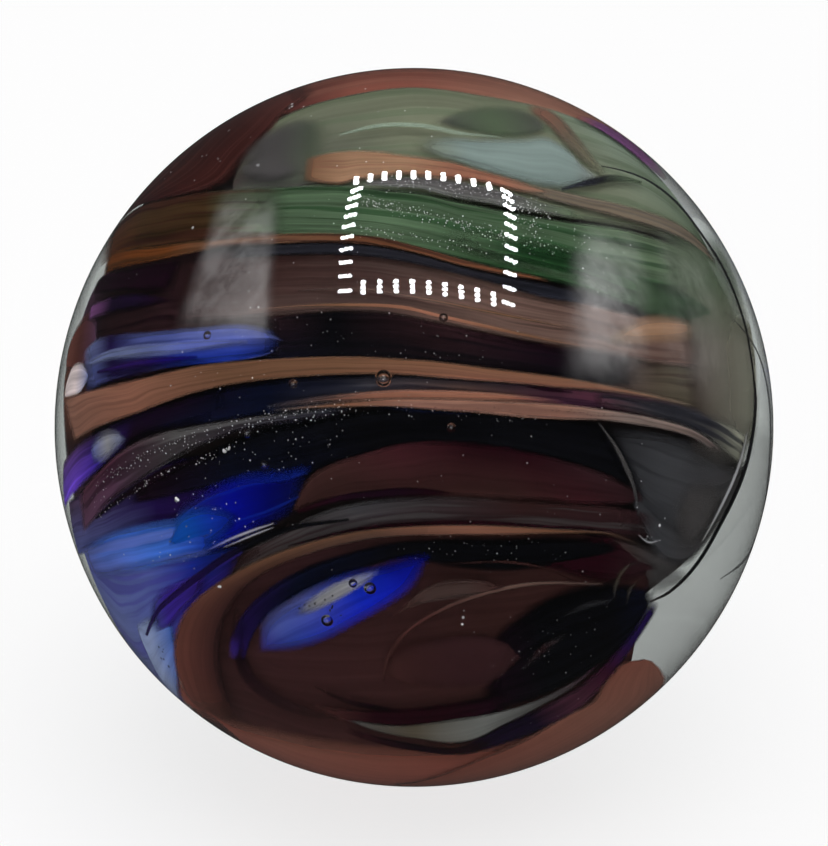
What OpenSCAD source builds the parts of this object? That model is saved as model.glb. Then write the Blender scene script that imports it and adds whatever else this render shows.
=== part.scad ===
// Glass marble: one solid ball of swirled glass with seed bubbles, the small
// round air bubbles that stayed in the glass when it was rolled.
// Millimetres, +Z up, origin at the middle of the ball. -Y is the front.

/* [Ball] */
// Diameter of the ball
ball_d = 16; // [12:0.5:50]

/* [Seed bubbles] */
// Diameter of the one large bubble
large_bubble_d = 0.38; // [0.2:0.02:0.8]
// Diameter of the medium bubbles
medium_bubble_d = 0.28; // [0.15:0.01:0.6]
// Diameter of the small bubbles
small_bubble_d = 0.2; // [0.1:0.01:0.4]
// Glass between a bubble and the surface of the ball
bubble_cover = 0.25; // [0.1:0.05:1.5]

/* [Face] */
// Angle from the horizon up to the middle of the face that shows the bubbles
face_rise = 28; // [0:1:60]

/* [Hidden] */

ball_fn = 160;
bubble_fn = 32;

// Where the bubbles lie: degrees to the right of the middle of the face, and degrees above it
large_bubbles = [[-5, 8]];
medium_bubbles = [[-17, -33], [-8, -27]];
small_bubbles = [
    [-37, 15], // in the upper blue streak
    [-20, 7],  // on the light line left of the large bubble
    [-25, -6], // over the dark band
    [-28, -1],
    [6, 0],
    [5, 18],   // under the green band
    [-11, -26] // in the blue of the coil
];

// Puts its child just under the surface, at an angle to the right of the face and above it
module under_surface(place, bubble_d) {
    rotate([-face_rise, 0, 0])
        rotate([0, 0, place[0]])
            rotate([-place[1], 0, 0])
                translate([0, -(ball_d / 2 - bubble_cover - bubble_d / 2), 0])
                    children();
}

// One size of bubble at each of its places
module bubbles(places, bubble_d) {
    for (place = places)
        under_surface(place, bubble_d)
            sphere(d = bubble_d, $fn = bubble_fn);
}

// The whole marble: the glass ball less its bubbles
module marble() {
    color([0.24, 0.16, 0.15])
        difference() {
            sphere(d = ball_d, $fn = ball_fn);
            bubbles(large_bubbles, large_bubble_d);
            bubbles(medium_bubbles, medium_bubble_d);
            bubbles(small_bubbles, small_bubble_d);
        }
}

marble();
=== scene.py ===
"""Looks of the glass marble: a clear ball with swirled sheets of coloured glass inside it.

The sheets lie a little under the surface. Their edges are drawn as they look from the front, in
pixels of the photograph, and are carried through the glass to the depth at which the sheet lies.
Other lengths are in millimetres until they become mesh coordinates, which are in metres.
"""
import logging
import math
import random
from dataclasses import dataclass
from enum import Enum

import bpy
import numpy as np
from mathutils import Euler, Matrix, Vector


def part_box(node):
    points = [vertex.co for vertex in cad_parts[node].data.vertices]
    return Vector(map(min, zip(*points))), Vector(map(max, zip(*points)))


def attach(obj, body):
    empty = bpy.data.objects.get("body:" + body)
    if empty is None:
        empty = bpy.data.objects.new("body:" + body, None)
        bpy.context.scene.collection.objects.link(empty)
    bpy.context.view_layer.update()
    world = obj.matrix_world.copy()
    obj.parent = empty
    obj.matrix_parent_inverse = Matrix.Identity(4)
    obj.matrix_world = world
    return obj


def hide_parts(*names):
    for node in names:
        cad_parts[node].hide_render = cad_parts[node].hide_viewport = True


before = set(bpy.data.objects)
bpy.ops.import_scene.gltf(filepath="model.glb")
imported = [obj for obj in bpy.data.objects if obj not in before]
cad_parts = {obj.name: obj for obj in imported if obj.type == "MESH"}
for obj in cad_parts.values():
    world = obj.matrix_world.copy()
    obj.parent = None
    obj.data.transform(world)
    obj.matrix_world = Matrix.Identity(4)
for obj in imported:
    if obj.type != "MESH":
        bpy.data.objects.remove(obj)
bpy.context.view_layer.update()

LOG = logging.getLogger("marble")

MM = 0.001
NODE = "marble"
BODY = "root"
BALL_R = (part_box(NODE)[1][2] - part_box(NODE)[0][2]) / 2 / MM
GLASS_IOR = 1.5

# The photograph: its frame, and where the ball stands in it, in pixels
PHOTO_SIZE = (828, 846)
PHOTO_MIDDLE = (414.0, 427.4)
PHOTO_RADIUS = 359.5

# The middle of the face looks up by this angle from the horizon at the front
FACE_RISE = math.radians(28)
FACE_RIGHT = Vector((1, 0, 0))
FACE_UP = Vector((0, math.sin(FACE_RISE), math.cos(FACE_RISE)))
FACE_OUT = Vector((0, -math.cos(FACE_RISE), math.sin(FACE_RISE)))

# The sheets: their thickness and the step in depth from one to the next, in millimetres, and how
# many pieces share a layer
SHEET_THICKNESS = 0.03
SHEET_STEP = 0.0002
LANES = 7

# Their grids: spacing in millimetres, the fewest cells, and how many places the width is measured at
STEP_ALONG = 0.14
STEP_ACROSS = 0.12
FEWEST_ALONG = 12
FEWEST_ACROSS = 4
WIDTH_PLACES = 33

# How much deeper the edges of a sheet lie, how far its streaks are shifted from those of the sheet
# before it, and how close two vertices are merged, in millimetres
EDGE_SAG = 0.02
STREAK_SHIFT = 7.3
MERGE_DISTANCE = 0.0002

# Edges that turn by less than this are shaded smooth
SMOOTH_ANGLE = math.radians(60)

# Threads: the share of their arch that is left off at each end, and the power that fills it out
THREAD_TIP = 0.08
THREAD_FULLNESS = 0.6

# Bands round the back: how far they reach to each side, in pixels, how much they close up and thin
# out there, and how many points each edge has
BACK_REACH = 344.0
BACK_BOW = 0.6
BACK_TAPER = 0.35
BACK_POINTS = 9


class Side(Enum):
    """Which half of the ball an edge point lies on, seen from the front."""

    NEAR = 1
    FAR = -1


FAR = Side.FAR


class Depth(Enum):
    """How far under the surface a sheet lies, in millimetres, from the top layer down."""

    LINT = 0.03
    SEED = 0.66
    THREAD = 0.70
    PATCH = 0.76
    BAND_TOP = 0.82
    BAND = 0.89
    BAND_LOW = 0.96
    FIELD = 1.04
    FIELD_LOW = 1.14
    CORE = 1.27


class Hue(Enum):
    """Colours of the glass, linear. Some of them also paint light: a reflection in the haze under the cap
    and a highlight across the pool of the coil.
    """

    BLACK = (0.002, 0.002, 0.003)
    CORE = (0.008, 0.005, 0.005)
    PLUM = (0.007, 0.0015, 0.005)
    AUBERGINE = (0.022, 0.009, 0.011)
    MAROON = (0.032, 0.008, 0.007)
    BRICK = (0.085, 0.026, 0.022)
    WINE = (0.013, 0.0015, 0.004)
    CLARET = (0.035, 0.008, 0.011)
    MAUVE = (0.09, 0.042, 0.08)
    PURPLE = (0.034, 0.005, 0.018)
    MAGENTA = (0.16, 0.06, 0.17)
    UMBER = (0.03, 0.012, 0.011)
    BROWN = (0.06, 0.036, 0.032)
    COCOA = (0.128, 0.077, 0.063)
    TERRACOTTA = (0.2, 0.064, 0.046)
    CLAY = (0.24, 0.1, 0.072)
    ORANGE = (0.29, 0.14, 0.1)
    EMBER = (0.36, 0.1, 0.075)
    AMBER = (0.11, 0.032, 0.008)
    RUST = (0.09, 0.036, 0.018)
    SIENNA = (0.14, 0.052, 0.036)
    RUSSET = (0.055, 0.02, 0.018)
    RAISIN = (0.042, 0.016, 0.018)
    OLIVE = (0.034, 0.017, 0.007)
    KHAKI = (0.078, 0.064, 0.045)
    DUN = (0.14, 0.11, 0.08)
    FAWN = (0.23, 0.1, 0.066)
    TAN = (0.13, 0.064, 0.036)
    SAND = (0.31, 0.178, 0.108)
    SALMON = (0.25, 0.128, 0.094)
    BLUSH = (0.22, 0.165, 0.145)
    ROSE = (0.07, 0.022, 0.038)
    GREEN = (0.066, 0.105, 0.06)
    FOREST = (0.011, 0.038, 0.013)
    SAGE = (0.09, 0.125, 0.075)
    PALE_SAGE = (0.22, 0.285, 0.22)
    HAZE = (0.15, 0.163, 0.11)
    LICHEN = (0.34, 0.345, 0.27)
    TEAL = (0.011, 0.011, 0.015)
    SMOKE = (0.045, 0.046, 0.051)
    GREY = (0.07, 0.066, 0.066)
    ASH = (0.17, 0.175, 0.165)
    MIST = (0.19, 0.245, 0.23)
    SLATE = (0.017, 0.018, 0.028)
    NAVY = (0.002, 0.003, 0.011)
    NIGHT = (0.006, 0.002, 0.012)
    INDIGO = (0.012, 0.004, 0.05)
    VIOLET = (0.055, 0.025, 0.34)
    LILAC = (0.224, 0.088, 0.928)
    ULTRAMARINE = (0.001, 0.002, 0.1)
    ROYAL = (0.002, 0.004, 0.25)
    ELECTRIC = (0.008, 0.018, 0.58)
    COBALT = (0.006, 0.03, 0.34)
    AZURE = (0.006, 0.07, 0.38)
    SKY = (0.05, 0.15, 0.6)
    PERIWINKLE = (0.07, 0.09, 0.27)
    LAVENDER = (0.11, 0.14, 0.42)
    ICE = (0.2, 0.24, 0.45)
    GLACIER = (0.34, 0.42, 0.68)
    FROST = (0.34, 0.34, 0.36)
    SHELL = (0.9, 0.76, 0.75)


Point = tuple
Edge = tuple[Point, ...]


def tints(names: str) -> tuple[Hue, ...]:
    """Gives the hues of a row of names with spaces between them."""
    return tuple(Hue[name.upper()] for name in names.split())


def face_direction(bearing: float, turn: float) -> Vector:
    """Gives the way from the middle of the ball at a bearing round the face and a turn from it."""
    across = FACE_RIGHT * math.cos(bearing) + FACE_UP * math.sin(bearing)
    return across * math.sin(turn) + FACE_OUT * math.cos(turn)


def photo_share(point: Point) -> tuple[float, float]:
    """Gives the bearing of a point of the photograph, and its distance in shares of the radius."""
    x = (point[0] - PHOTO_MIDDLE[0]) / PHOTO_RADIUS
    y = (PHOTO_MIDDLE[1] - point[1]) / PHOTO_RADIUS
    return math.atan2(y, x), min(math.hypot(x, y), 1.0)


def under_glass(point: Point, depth: float) -> Vector:
    """Finds the spot inside the ball that shows at a point of the photograph.

    Args:
        point: x and y in pixels, and FAR as a third value for a spot on the far half.
        depth: millimetres under the surface.

    Returns:
        The spot, in millimetres from the middle of the ball.
    """
    bearing, off = photo_share(point)
    side = point[2] if len(point) == 3 else Side.NEAR
    shell = 1 - depth / BALL_R
    if side is Side.FAR:
        turn = math.pi - math.asin(off)
    else:
        bend = math.asin(off / (GLASS_IOR * shell)) - math.asin(off / GLASS_IOR)
        turn = math.asin(off) + bend
    return face_direction(bearing, turn) * shell * BALL_R


def mirrored(point: Point, reach: float) -> Vector:
    """Finds the spot whose mirror image shows at a point of the photograph.

    Args:
        point: x and y in pixels.
        reach: distance of the spot from the surface of the ball, in metres.

    Returns:
        The spot, in metres.
    """
    bearing, off = photo_share(point)
    turn = math.asin(off)
    return face_direction(bearing, turn) * BALL_R * MM + face_direction(bearing, 2 * turn) * reach


class EdgeLine:
    """A smooth line through the points of one edge, measured along its length."""

    SAMPLES = 24
    SHORTEST = 1e-6

    def __init__(self, points: Edge, depth: float) -> None:
        """Fits the line.

        Args:
            points: the points of the edge, left to right.
            depth: millimetres under the surface.
        """
        knots = np.array([under_glass(point, depth) for point in points])
        chords = np.maximum(np.linalg.norm(np.diff(knots, axis=0), axis=1), self.SHORTEST)
        slopes = np.empty_like(knots)
        slopes[1:-1] = (knots[2:] - knots[:-2]) / (chords[1:] + chords[:-1])[:, None]
        slopes[0] = (knots[1] - knots[0]) / chords[0]
        slopes[-1] = (knots[-1] - knots[-2]) / chords[-1]
        steps = np.linspace(0, 1, self.SAMPLES, endpoint=False)[:, None]
        rows = []
        for start, end, slope_in, slope_out, chord in zip(knots, knots[1:], slopes, slopes[1:], chords):
            rows.append((2 * steps**3 - 3 * steps**2 + 1) * start
                        + (steps**3 - 2 * steps**2 + steps) * slope_in * chord
                        + (3 * steps**2 - 2 * steps**3) * end
                        + (steps**3 - steps**2) * slope_out * chord)
        rows.append(knots[-1:])
        self.spots = np.concatenate(rows)
        lengths = np.linalg.norm(np.diff(self.spots, axis=0), axis=1)
        self.reach = np.concatenate(([0.0], np.cumsum(lengths)))
        self.length = float(self.reach[-1])

    def at(self, share: np.ndarray) -> np.ndarray:
        """Gives the spots at shares of the length, 0 to 1."""
        want = share * self.length
        return np.stack([np.interp(want, self.reach, self.spots[:, axis]) for axis in range(3)], axis=1)


def blend_hues(hues: tuple[Hue, ...], share: np.ndarray) -> np.ndarray:
    """Gives the colours at shares along a row of evenly spaced hues."""
    row = np.array([hue.value for hue in hues])
    if len(hues) == 1:
        return np.repeat(row, len(share), axis=0)
    stops = np.linspace(0, 1, len(hues))
    return np.stack([np.interp(share, stops, row[:, axis]) for axis in range(3)], axis=1)


def ease(share: np.ndarray) -> np.ndarray:
    """Smooths a ramp from 0 to 1."""
    share = np.clip(share, 0, 1)
    return share * share * (3 - 2 * share)


def deselect_all() -> None:
    """Leaves object mode with nothing selected."""
    if bpy.context.object and bpy.context.object.mode != "OBJECT":
        bpy.ops.object.mode_set(mode="OBJECT")
    bpy.ops.object.select_all(action="DESELECT")


def join_all(parts: list[bpy.types.Object], name: str) -> bpy.types.Object:
    """Joins objects into one.

    Args:
        parts: the objects, of which the first takes in the others.
        name: name of the joined piece.

    Returns:
        The joined object.
    """
    deselect_all()
    for part in parts:
        part.select_set(True)
    bpy.context.view_layer.objects.active = parts[0]
    if len(parts) > 1:
        bpy.ops.object.join()
    parts[0].name = name
    parts[0].data.name = name
    return parts[0]


def vertex_places(mesh: bpy.types.Mesh) -> np.ndarray:
    """Reads the vertex coordinates of a mesh, one row each."""
    flat = np.empty(len(mesh.vertices) * 3)
    mesh.vertices.foreach_get("co", flat)
    return flat.reshape(-1, 3)


@dataclass(frozen=True)
class Sheet:
    """One thin sheet of coloured glass under the surface.

    Attributes:
        name: what the sheet is.
        depth: the layer that it lies in.
        upper: its upper edge, left to right.
        lower: its lower edge, left to right.
        hues: colours along the upper edge, evenly spaced.
        lower_hues: colours along the lower edge, or none if they are the same.
        soft: width over which the long edges fade out, in millimetres.
        soft_ends: length over which the ends fade out, in millimetres.
        body: how solid the glass is, from 0, clear, to 1, opaque.
        vein: colour of the lines that run along the sheet, if it has any.
        veined: how much of the sheet the lines take up, from 0 to 1.
        streak: how strongly the sheet is streaked, next to others of its glass.
    """

    name: str
    depth: Depth
    upper: Edge
    lower: Edge
    hues: tuple[Hue, ...]
    lower_hues: tuple[Hue, ...] = ()
    soft: float = 0.05
    soft_ends: float = 0.0
    body: float = 1.0
    vein: Hue | None = None
    veined: float = 0.6
    streak: float = 1.0

    def build(self, number: int, lane: int) -> bpy.types.Object:
        """Lays a grid between the two edges.

        Args:
            number: place in its piece, which shifts its streaks and sets it a little deeper.
            lane: place of its piece among the pieces, which sets it a little deeper too.

        Returns:
            The sheet, with its flow UV map and its tint, vein and grain attributes.
        """
        upper = EdgeLine(self.upper, self.depth.value)
        lower = EdgeLine(self.lower, self.depth.value)
        length = (upper.length + lower.length) / 2
        middle = np.linspace(0, 1, WIDTH_PLACES)
        widths = np.linalg.norm(upper.at(middle) - lower.at(middle), axis=1)
        width = float(widths.max())
        deselect_all()
        bpy.ops.mesh.primitive_grid_add(
            x_subdivisions=max(FEWEST_ALONG, int(length / STEP_ALONG)),
            y_subdivisions=max(FEWEST_ACROSS, int(width / STEP_ACROSS)),
            size=1.0,
        )
        sheet = bpy.context.object
        sheet.name = self.name
        mesh = sheet.data
        flat = vertex_places(mesh)
        along = flat[:, 0] + 0.5
        across = 0.5 - flat[:, 1]
        spots = upper.at(along) * (1 - across)[:, None] + lower.at(along) * across[:, None]
        depth = self.depth.value + SHEET_STEP * (number * LANES + lane)
        shell = BALL_R - depth - EDGE_SAG * (2 * across - 1) ** 2
        spots *= (shell / np.linalg.norm(spots, axis=1))[:, None]
        mesh.vertices.foreach_set("co", (spots * MM).ravel())
        self._paint(mesh, along, across, length, np.interp(along, middle, widths))
        shift = number * STREAK_SHIFT
        self._map_flow(mesh, along * length, across * float(widths.mean()) + shift)
        return sheet

    def _paint(self, mesh: bpy.types.Mesh, along: np.ndarray, across: np.ndarray,
               length: float, width: np.ndarray) -> None:
        """Stores colour and solidity at each vertex.

        Args:
            mesh: mesh of the sheet.
            along: share of the length at each vertex.
            across: share of the width at each vertex.
            length: length of the sheet, in millimetres.
            width: width of the sheet at each vertex, in millimetres.
        """
        top = blend_hues(self.hues, along)
        bottom = blend_hues(self.lower_hues or self.hues, along)
        tint = np.ones((len(along), 4))
        tint[:, :3] = top * (1 - across)[:, None] + bottom * across[:, None]
        solid = np.ones(len(along))
        if self.soft:
            solid *= ease(np.minimum(across, 1 - across) * width / self.soft)
        if self.soft_ends:
            solid *= ease(np.minimum(along, 1 - along) * length / self.soft_ends)
        tint[:, 3] = solid
        vein = np.zeros((len(along), 4))
        if self.vein:
            vein[:] = (*self.vein.value, self.veined)
        grain = np.tile((self.body, self.streak, 0.0, 1.0), (len(along), 1))
        for name, values in (("tint", tint), ("vein", vein), ("grain", grain)):
            layer = mesh.color_attributes.new(name, "FLOAT_COLOR", "POINT")
            layer.data.foreach_set("color", values.ravel())

    def _map_flow(self, mesh: bpy.types.Mesh, along: np.ndarray, across: np.ndarray) -> None:
        """Sets the UV map to millimetres along and across the flow of the glass."""
        layer = mesh.uv_layers[0]
        layer.name = "flow"
        corners = np.empty(len(mesh.loops), dtype=np.int64)
        mesh.loops.foreach_get("vertex_index", corners)
        layer.data.foreach_set("uv", np.stack([along[corners], across[corners]], axis=1).ravel())


def thread(name: str, depth: Depth, line: Edge, width: float, hues: tuple[Hue, ...],
           soft: float = 0.03, body: float = 1.0, streak: float = 1.0) -> Sheet:
    """Makes a narrow sheet along a line, thin at both ends.

    Args:
        name: what the thread is.
        depth: the layer that it lies in.
        line: its middle line, in pixels.
        width: its greatest width, in pixels.
        hues: colours along it.
        soft: width over which its edges fade out, in millimetres.
        body: how solid the glass is.
        streak: how strongly it is streaked.

    Returns:
        The sheet.
    """
    spots = np.array([point[:2] for point in line], dtype=float)
    runs = np.gradient(spots, axis=0)
    normals = np.stack([runs[:, 1], -runs[:, 0]], axis=1) / np.linalg.norm(runs, axis=1)[:, None]
    taper = np.sin(np.linspace(THREAD_TIP, 1 - THREAD_TIP, len(spots)) * math.pi) ** THREAD_FULLNESS
    offsets = normals * (taper * width / 2)[:, None]
    upper = tuple((*map(float, spot), *point[2:]) for spot, point in zip(spots + offsets, line))
    lower = tuple((*map(float, spot), *point[2:]) for spot, point in zip(spots - offsets, line))
    return Sheet(name, depth, upper, lower, hues, soft=soft, body=body, streak=streak)


def back_band(name: str, top: float, bottom: float, hues: tuple[Hue, ...], vein: Hue) -> Sheet:
    """Makes a plain band round the back of the ball, thinner and fading out at both ends.

    Args:
        name: what the band is.
        top: height of its upper edge in the middle of the back, in pixels.
        bottom: height of its lower edge there, in pixels.
        hues: colours along it.
        vein: colour of the lines along it.

    Returns:
        The sheet.
    """
    share = np.linspace(-1, 1, BACK_POINTS)
    middle = (top + bottom) / 2
    edges = []
    for level in (top, bottom):
        heights = middle + (level - middle) * (1 - BACK_TAPER * share**4)
        heights += (PHOTO_MIDDLE[1] - heights) * BACK_BOW * share**2
        across = PHOTO_MIDDLE[0] + BACK_REACH * share
        edges.append(tuple((float(x), float(y), FAR) for x, y in zip(across, heights)))
    return Sheet(name, Depth.FIELD, *edges, hues, soft=0.15, soft_ends=1.6, vein=vein, veined=0.5)


class NodeBench:
    """Adds and links the nodes of one tree."""

    def __init__(self, tree: bpy.types.NodeTree) -> None:
        """Takes the tree and empties it."""
        self.tree = tree
        tree.nodes.clear()

    def add(self, kind: str, **inputs: object) -> bpy.types.Node:
        """Adds a node.

        Args:
            kind: the node's type.
            inputs: values for its inputs or properties, with _ for a space in a name.

        Returns:
            The node.
        """
        node = self.tree.nodes.new(kind)
        for name, value in inputs.items():
            if hasattr(node, name):
                setattr(node, name, value)
            else:
                node.inputs[name.replace("_", " ")].default_value = value
        return node

    def link(self, start: bpy.types.NodeSocket, end: bpy.types.NodeSocket) -> None:
        """Links two sockets."""
        self.tree.links.new(start, end)

    def math(self, operation: str, first: object, second: object = 0.0,
             clamp: bool = False) -> bpy.types.NodeSocket:
        """Adds a Math node.

        Args:
            operation: what it does.
            first: a socket or a number.
            second: a socket or a number.
            clamp: whether the result stays between 0 and 1.

        Returns:
            Its output.
        """
        node = self.add("ShaderNodeMath", operation=operation, use_clamp=clamp)
        for socket, value in zip(node.inputs, (first, second)):
            if isinstance(value, bpy.types.NodeSocket):
                self.link(value, socket)
            else:
                socket.default_value = value
        return node.outputs[0]

    def scale(self, color: bpy.types.NodeSocket, factor: bpy.types.NodeSocket) -> bpy.types.NodeSocket:
        """Multiplies a colour by a number."""
        node = self.add("ShaderNodeVectorMath", operation="SCALE")
        self.link(color, node.inputs[0])
        self.link(factor, node.inputs["Scale"])
        return node.outputs[0]

    def blend(self, factor: bpy.types.NodeSocket, first: bpy.types.NodeSocket,
              second: bpy.types.NodeSocket) -> bpy.types.NodeSocket:
        """Mixes two colours."""
        node = self.add("ShaderNodeMix", data_type="RGBA")
        colors = [socket for socket in node.inputs if socket.type == "RGBA"]
        self.link(factor, node.inputs[0])
        self.link(first, colors[0])
        self.link(second, colors[1])
        return [socket for socket in node.outputs if socket.type == "RGBA"][0]

    def remap(self, value: bpy.types.NodeSocket, low: float, high: float,
              to_low: float = 0.0, to_high: float = 1.0) -> bpy.types.NodeSocket:
        """Stretches a range of values to another, without going past its ends."""
        node = self.add("ShaderNodeMapRange", interpolation_type="SMOOTHSTEP")
        self.link(value, node.inputs["Value"])
        for name, number in (("From Min", low), ("From Max", high), ("To Min", to_low),
                             ("To Max", to_high)):
            node.inputs[name].default_value = number
        return node.outputs[0]

    def mix(self, factor: bpy.types.NodeSocket, first: bpy.types.Node,
            second: bpy.types.Node) -> bpy.types.Node:
        """Mixes two shaders."""
        node = self.add("ShaderNodeMixShader")
        self.link(factor, node.inputs[0])
        self.link(first.outputs[0], node.inputs[1])
        self.link(second.outputs[0], node.inputs[2])
        return node


def new_material(name: str) -> tuple[bpy.types.Material, NodeBench]:
    """Makes an empty material.

    Args:
        name: name of the material.

    Returns:
        The material, and a bench for its nodes.
    """
    material = bpy.data.materials.new(name)
    material.use_nodes = True
    return material, NodeBench(material.node_tree)


class StreakGroup:
    """Node group of fine streaks and lines that follow the flow of a sheet.

    The streaks and the lines are noises. A pair of scales says how fast a noise changes along the
    flow and across it.
    """

    NAME = "flow_streaks"
    INPUTS = (("Flow", "NodeSocketVector"), ("Tint", "NodeSocketColor"), ("Vein", "NodeSocketColor"),
              ("Veined", "NodeSocketFloat"), ("Density", "NodeSocketFloat"),
              ("Amount", "NodeSocketFloat"))
    WAVE = 0.2
    WAVE_SCALES = (0.45, 0.7)
    BROAD_SCALES = (0.26, 1.0)
    FINE_SCALES = (0.16, 3.4)
    HAIR_SCALES = (0.11, 10.0)
    LINE_SCALES = (0.12, 2.1)
    BROAD_SHARE = 0.42
    FINE_SHARE = 0.36
    HAIR_SHARE = 0.22
    DARKEST = 0.06
    LINE_SHIFT = 41.0
    LINE_RANGE = (0.55, 0.85)
    NOISE_RANGE = (0.3, 0.7)

    @classmethod
    def get(cls) -> bpy.types.NodeTree:
        """Builds the group once and returns it."""
        if cls.NAME in bpy.data.node_groups:
            return bpy.data.node_groups[cls.NAME]
        tree = bpy.data.node_groups.new(cls.NAME, "ShaderNodeTree")
        for name, kind in cls.INPUTS:
            tree.interface.new_socket(name, in_out="INPUT", socket_type=kind)
        tree.interface.new_socket("Color", in_out="OUTPUT", socket_type="NodeSocketColor")
        tree.interface.new_socket("Streak", in_out="OUTPUT", socket_type="NodeSocketFloat")
        bench = NodeBench(tree)
        inlet = bench.add("NodeGroupInput")
        outlet = bench.add("NodeGroupOutput")
        split = bench.add("ShaderNodeSeparateXYZ")
        bench.link(inlet.outputs["Flow"], split.inputs[0])
        along, across = split.outputs[0], split.outputs[1]
        wave = bench.math("SUBTRACT", cls._noise(bench, along, across, cls.WAVE_SCALES), 0.5)
        across = bench.math("ADD", across, bench.math("MULTIPLY", wave, cls.WAVE))
        across = bench.math("MULTIPLY", across, inlet.outputs["Density"])
        broad = bench.math("MULTIPLY", cls._drawn(bench, along, across, cls.BROAD_SCALES),
                           cls.BROAD_SHARE)
        fine = bench.math("MULTIPLY", cls._drawn(bench, along, across, cls.FINE_SCALES), cls.FINE_SHARE)
        hair = bench.math("MULTIPLY", cls._drawn(bench, along, across, cls.HAIR_SCALES), cls.HAIR_SHARE)
        streak = bench.math("ADD", bench.math("ADD", broad, fine), hair)
        spread = bench.math("MULTIPLY", bench.math("SUBTRACT", streak, 0.5), inlet.outputs["Amount"])
        shade = bench.math("MAXIMUM", bench.math("ADD", spread, 1.0), cls.DARKEST)
        shifted = bench.math("ADD", across, cls.LINE_SHIFT)
        lines = bench.remap(cls._drawn(bench, along, shifted, cls.LINE_SCALES), *cls.LINE_RANGE)
        mask = bench.math("MULTIPLY", lines, inlet.outputs["Veined"])
        color = bench.blend(mask, inlet.outputs["Tint"], inlet.outputs["Vein"])
        bench.link(bench.scale(color, shade), outlet.inputs["Color"])
        bench.link(streak, outlet.inputs["Streak"])
        return tree

    @classmethod
    def _drawn(cls, bench: NodeBench, along: bpy.types.NodeSocket, across: bpy.types.NodeSocket,
               scales: tuple[float, float]) -> bpy.types.NodeSocket:
        """Adds a noise that is drawn out along the flow, and spreads it to about 0 to 1."""
        return bench.remap(cls._noise(bench, along, across, scales), *cls.NOISE_RANGE)

    @staticmethod
    def _noise(bench: NodeBench, along: bpy.types.NodeSocket, across: bpy.types.NodeSocket,
               scales: tuple[float, float]) -> bpy.types.NodeSocket:
        """Adds a noise.

        Args:
            bench: the group's nodes.
            along: millimetres along the flow.
            across: place across the flow.
            scales: how fast the noise changes along the flow and across it.

        Returns:
            The noise.
        """
        join = bench.add("ShaderNodeCombineXYZ")
        bench.link(bench.math("MULTIPLY", along, scales[0]), join.inputs[0])
        bench.link(bench.math("MULTIPLY", across, scales[1]), join.inputs[1])
        noise = bench.add("ShaderNodeTexNoise", noise_dimensions="2D", Scale=1.0, Detail=2.0,
                          Roughness=0.55)
        bench.link(join.outputs[0], noise.inputs["Vector"])
        return noise.outputs[0]


@dataclass(frozen=True)
class StreakedGlass:
    """Finish of the coloured sheets: tint drawn out in streaks.

    Attributes:
        name: name of the material.
        density: broad streaks per millimetre.
        amount: how strongly the streaks lighten and darken the tint.
        roughness: roughness of the sheet.
    """

    name: str
    density: float = 2.6
    amount: float = 1.0
    roughness: float = 0.6
    RAGGED = 1.2

    def material(self) -> bpy.types.Material:
        """Builds the material."""
        material, bench = new_material(self.name)
        out = bench.add("ShaderNodeOutputMaterial")
        shader = bench.add("ShaderNodeBsdfPrincipled", Roughness=self.roughness, Specular_IOR_Level=0.0)
        flow = bench.add("ShaderNodeUVMap", uv_map="flow")
        tint = bench.add("ShaderNodeAttribute", attribute_name="tint")
        vein = bench.add("ShaderNodeAttribute", attribute_name="vein")
        streaks = bench.add("ShaderNodeGroup", node_tree=StreakGroup.get())
        streaks.inputs["Density"].default_value = self.density
        grain = bench.add("ShaderNodeSeparateColor")
        bench.link(bench.add("ShaderNodeAttribute", attribute_name="grain").outputs["Color"],
                   grain.inputs[0])
        bench.link(bench.math("MULTIPLY", grain.outputs[1], self.amount), streaks.inputs["Amount"])
        bench.link(flow.outputs[0], streaks.inputs["Flow"])
        bench.link(tint.outputs["Color"], streaks.inputs["Tint"])
        bench.link(vein.outputs["Color"], streaks.inputs["Vein"])
        bench.link(vein.outputs["Alpha"], streaks.inputs["Veined"])
        bench.link(streaks.outputs["Color"], shader.inputs["Base Color"])
        bench.link(self._solidity(bench, tint, streaks, grain), shader.inputs["Alpha"])
        bench.link(shader.outputs[0], out.inputs["Surface"])
        return material

    def _solidity(self, bench: NodeBench, tint: bpy.types.Node, streaks: bpy.types.Node,
                  grain: bpy.types.Node) -> bpy.types.NodeSocket:
        """Breaks a soft edge up along the streaks, and leaves solid and empty glass as they are."""
        alpha = tint.outputs["Alpha"]
        middle = bench.math("MULTIPLY", alpha, bench.math("SUBTRACT", 1.0, alpha))
        shift = bench.math("MULTIPLY", bench.math("SUBTRACT", streaks.outputs["Streak"], 0.5), middle)
        shift = bench.math("MULTIPLY", bench.math("MULTIPLY", shift, self.RAGGED), grain.outputs[1])
        edge = bench.math("ADD", alpha, shift, clamp=True)
        return bench.math("MULTIPLY", edge, grain.outputs[0])


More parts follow.
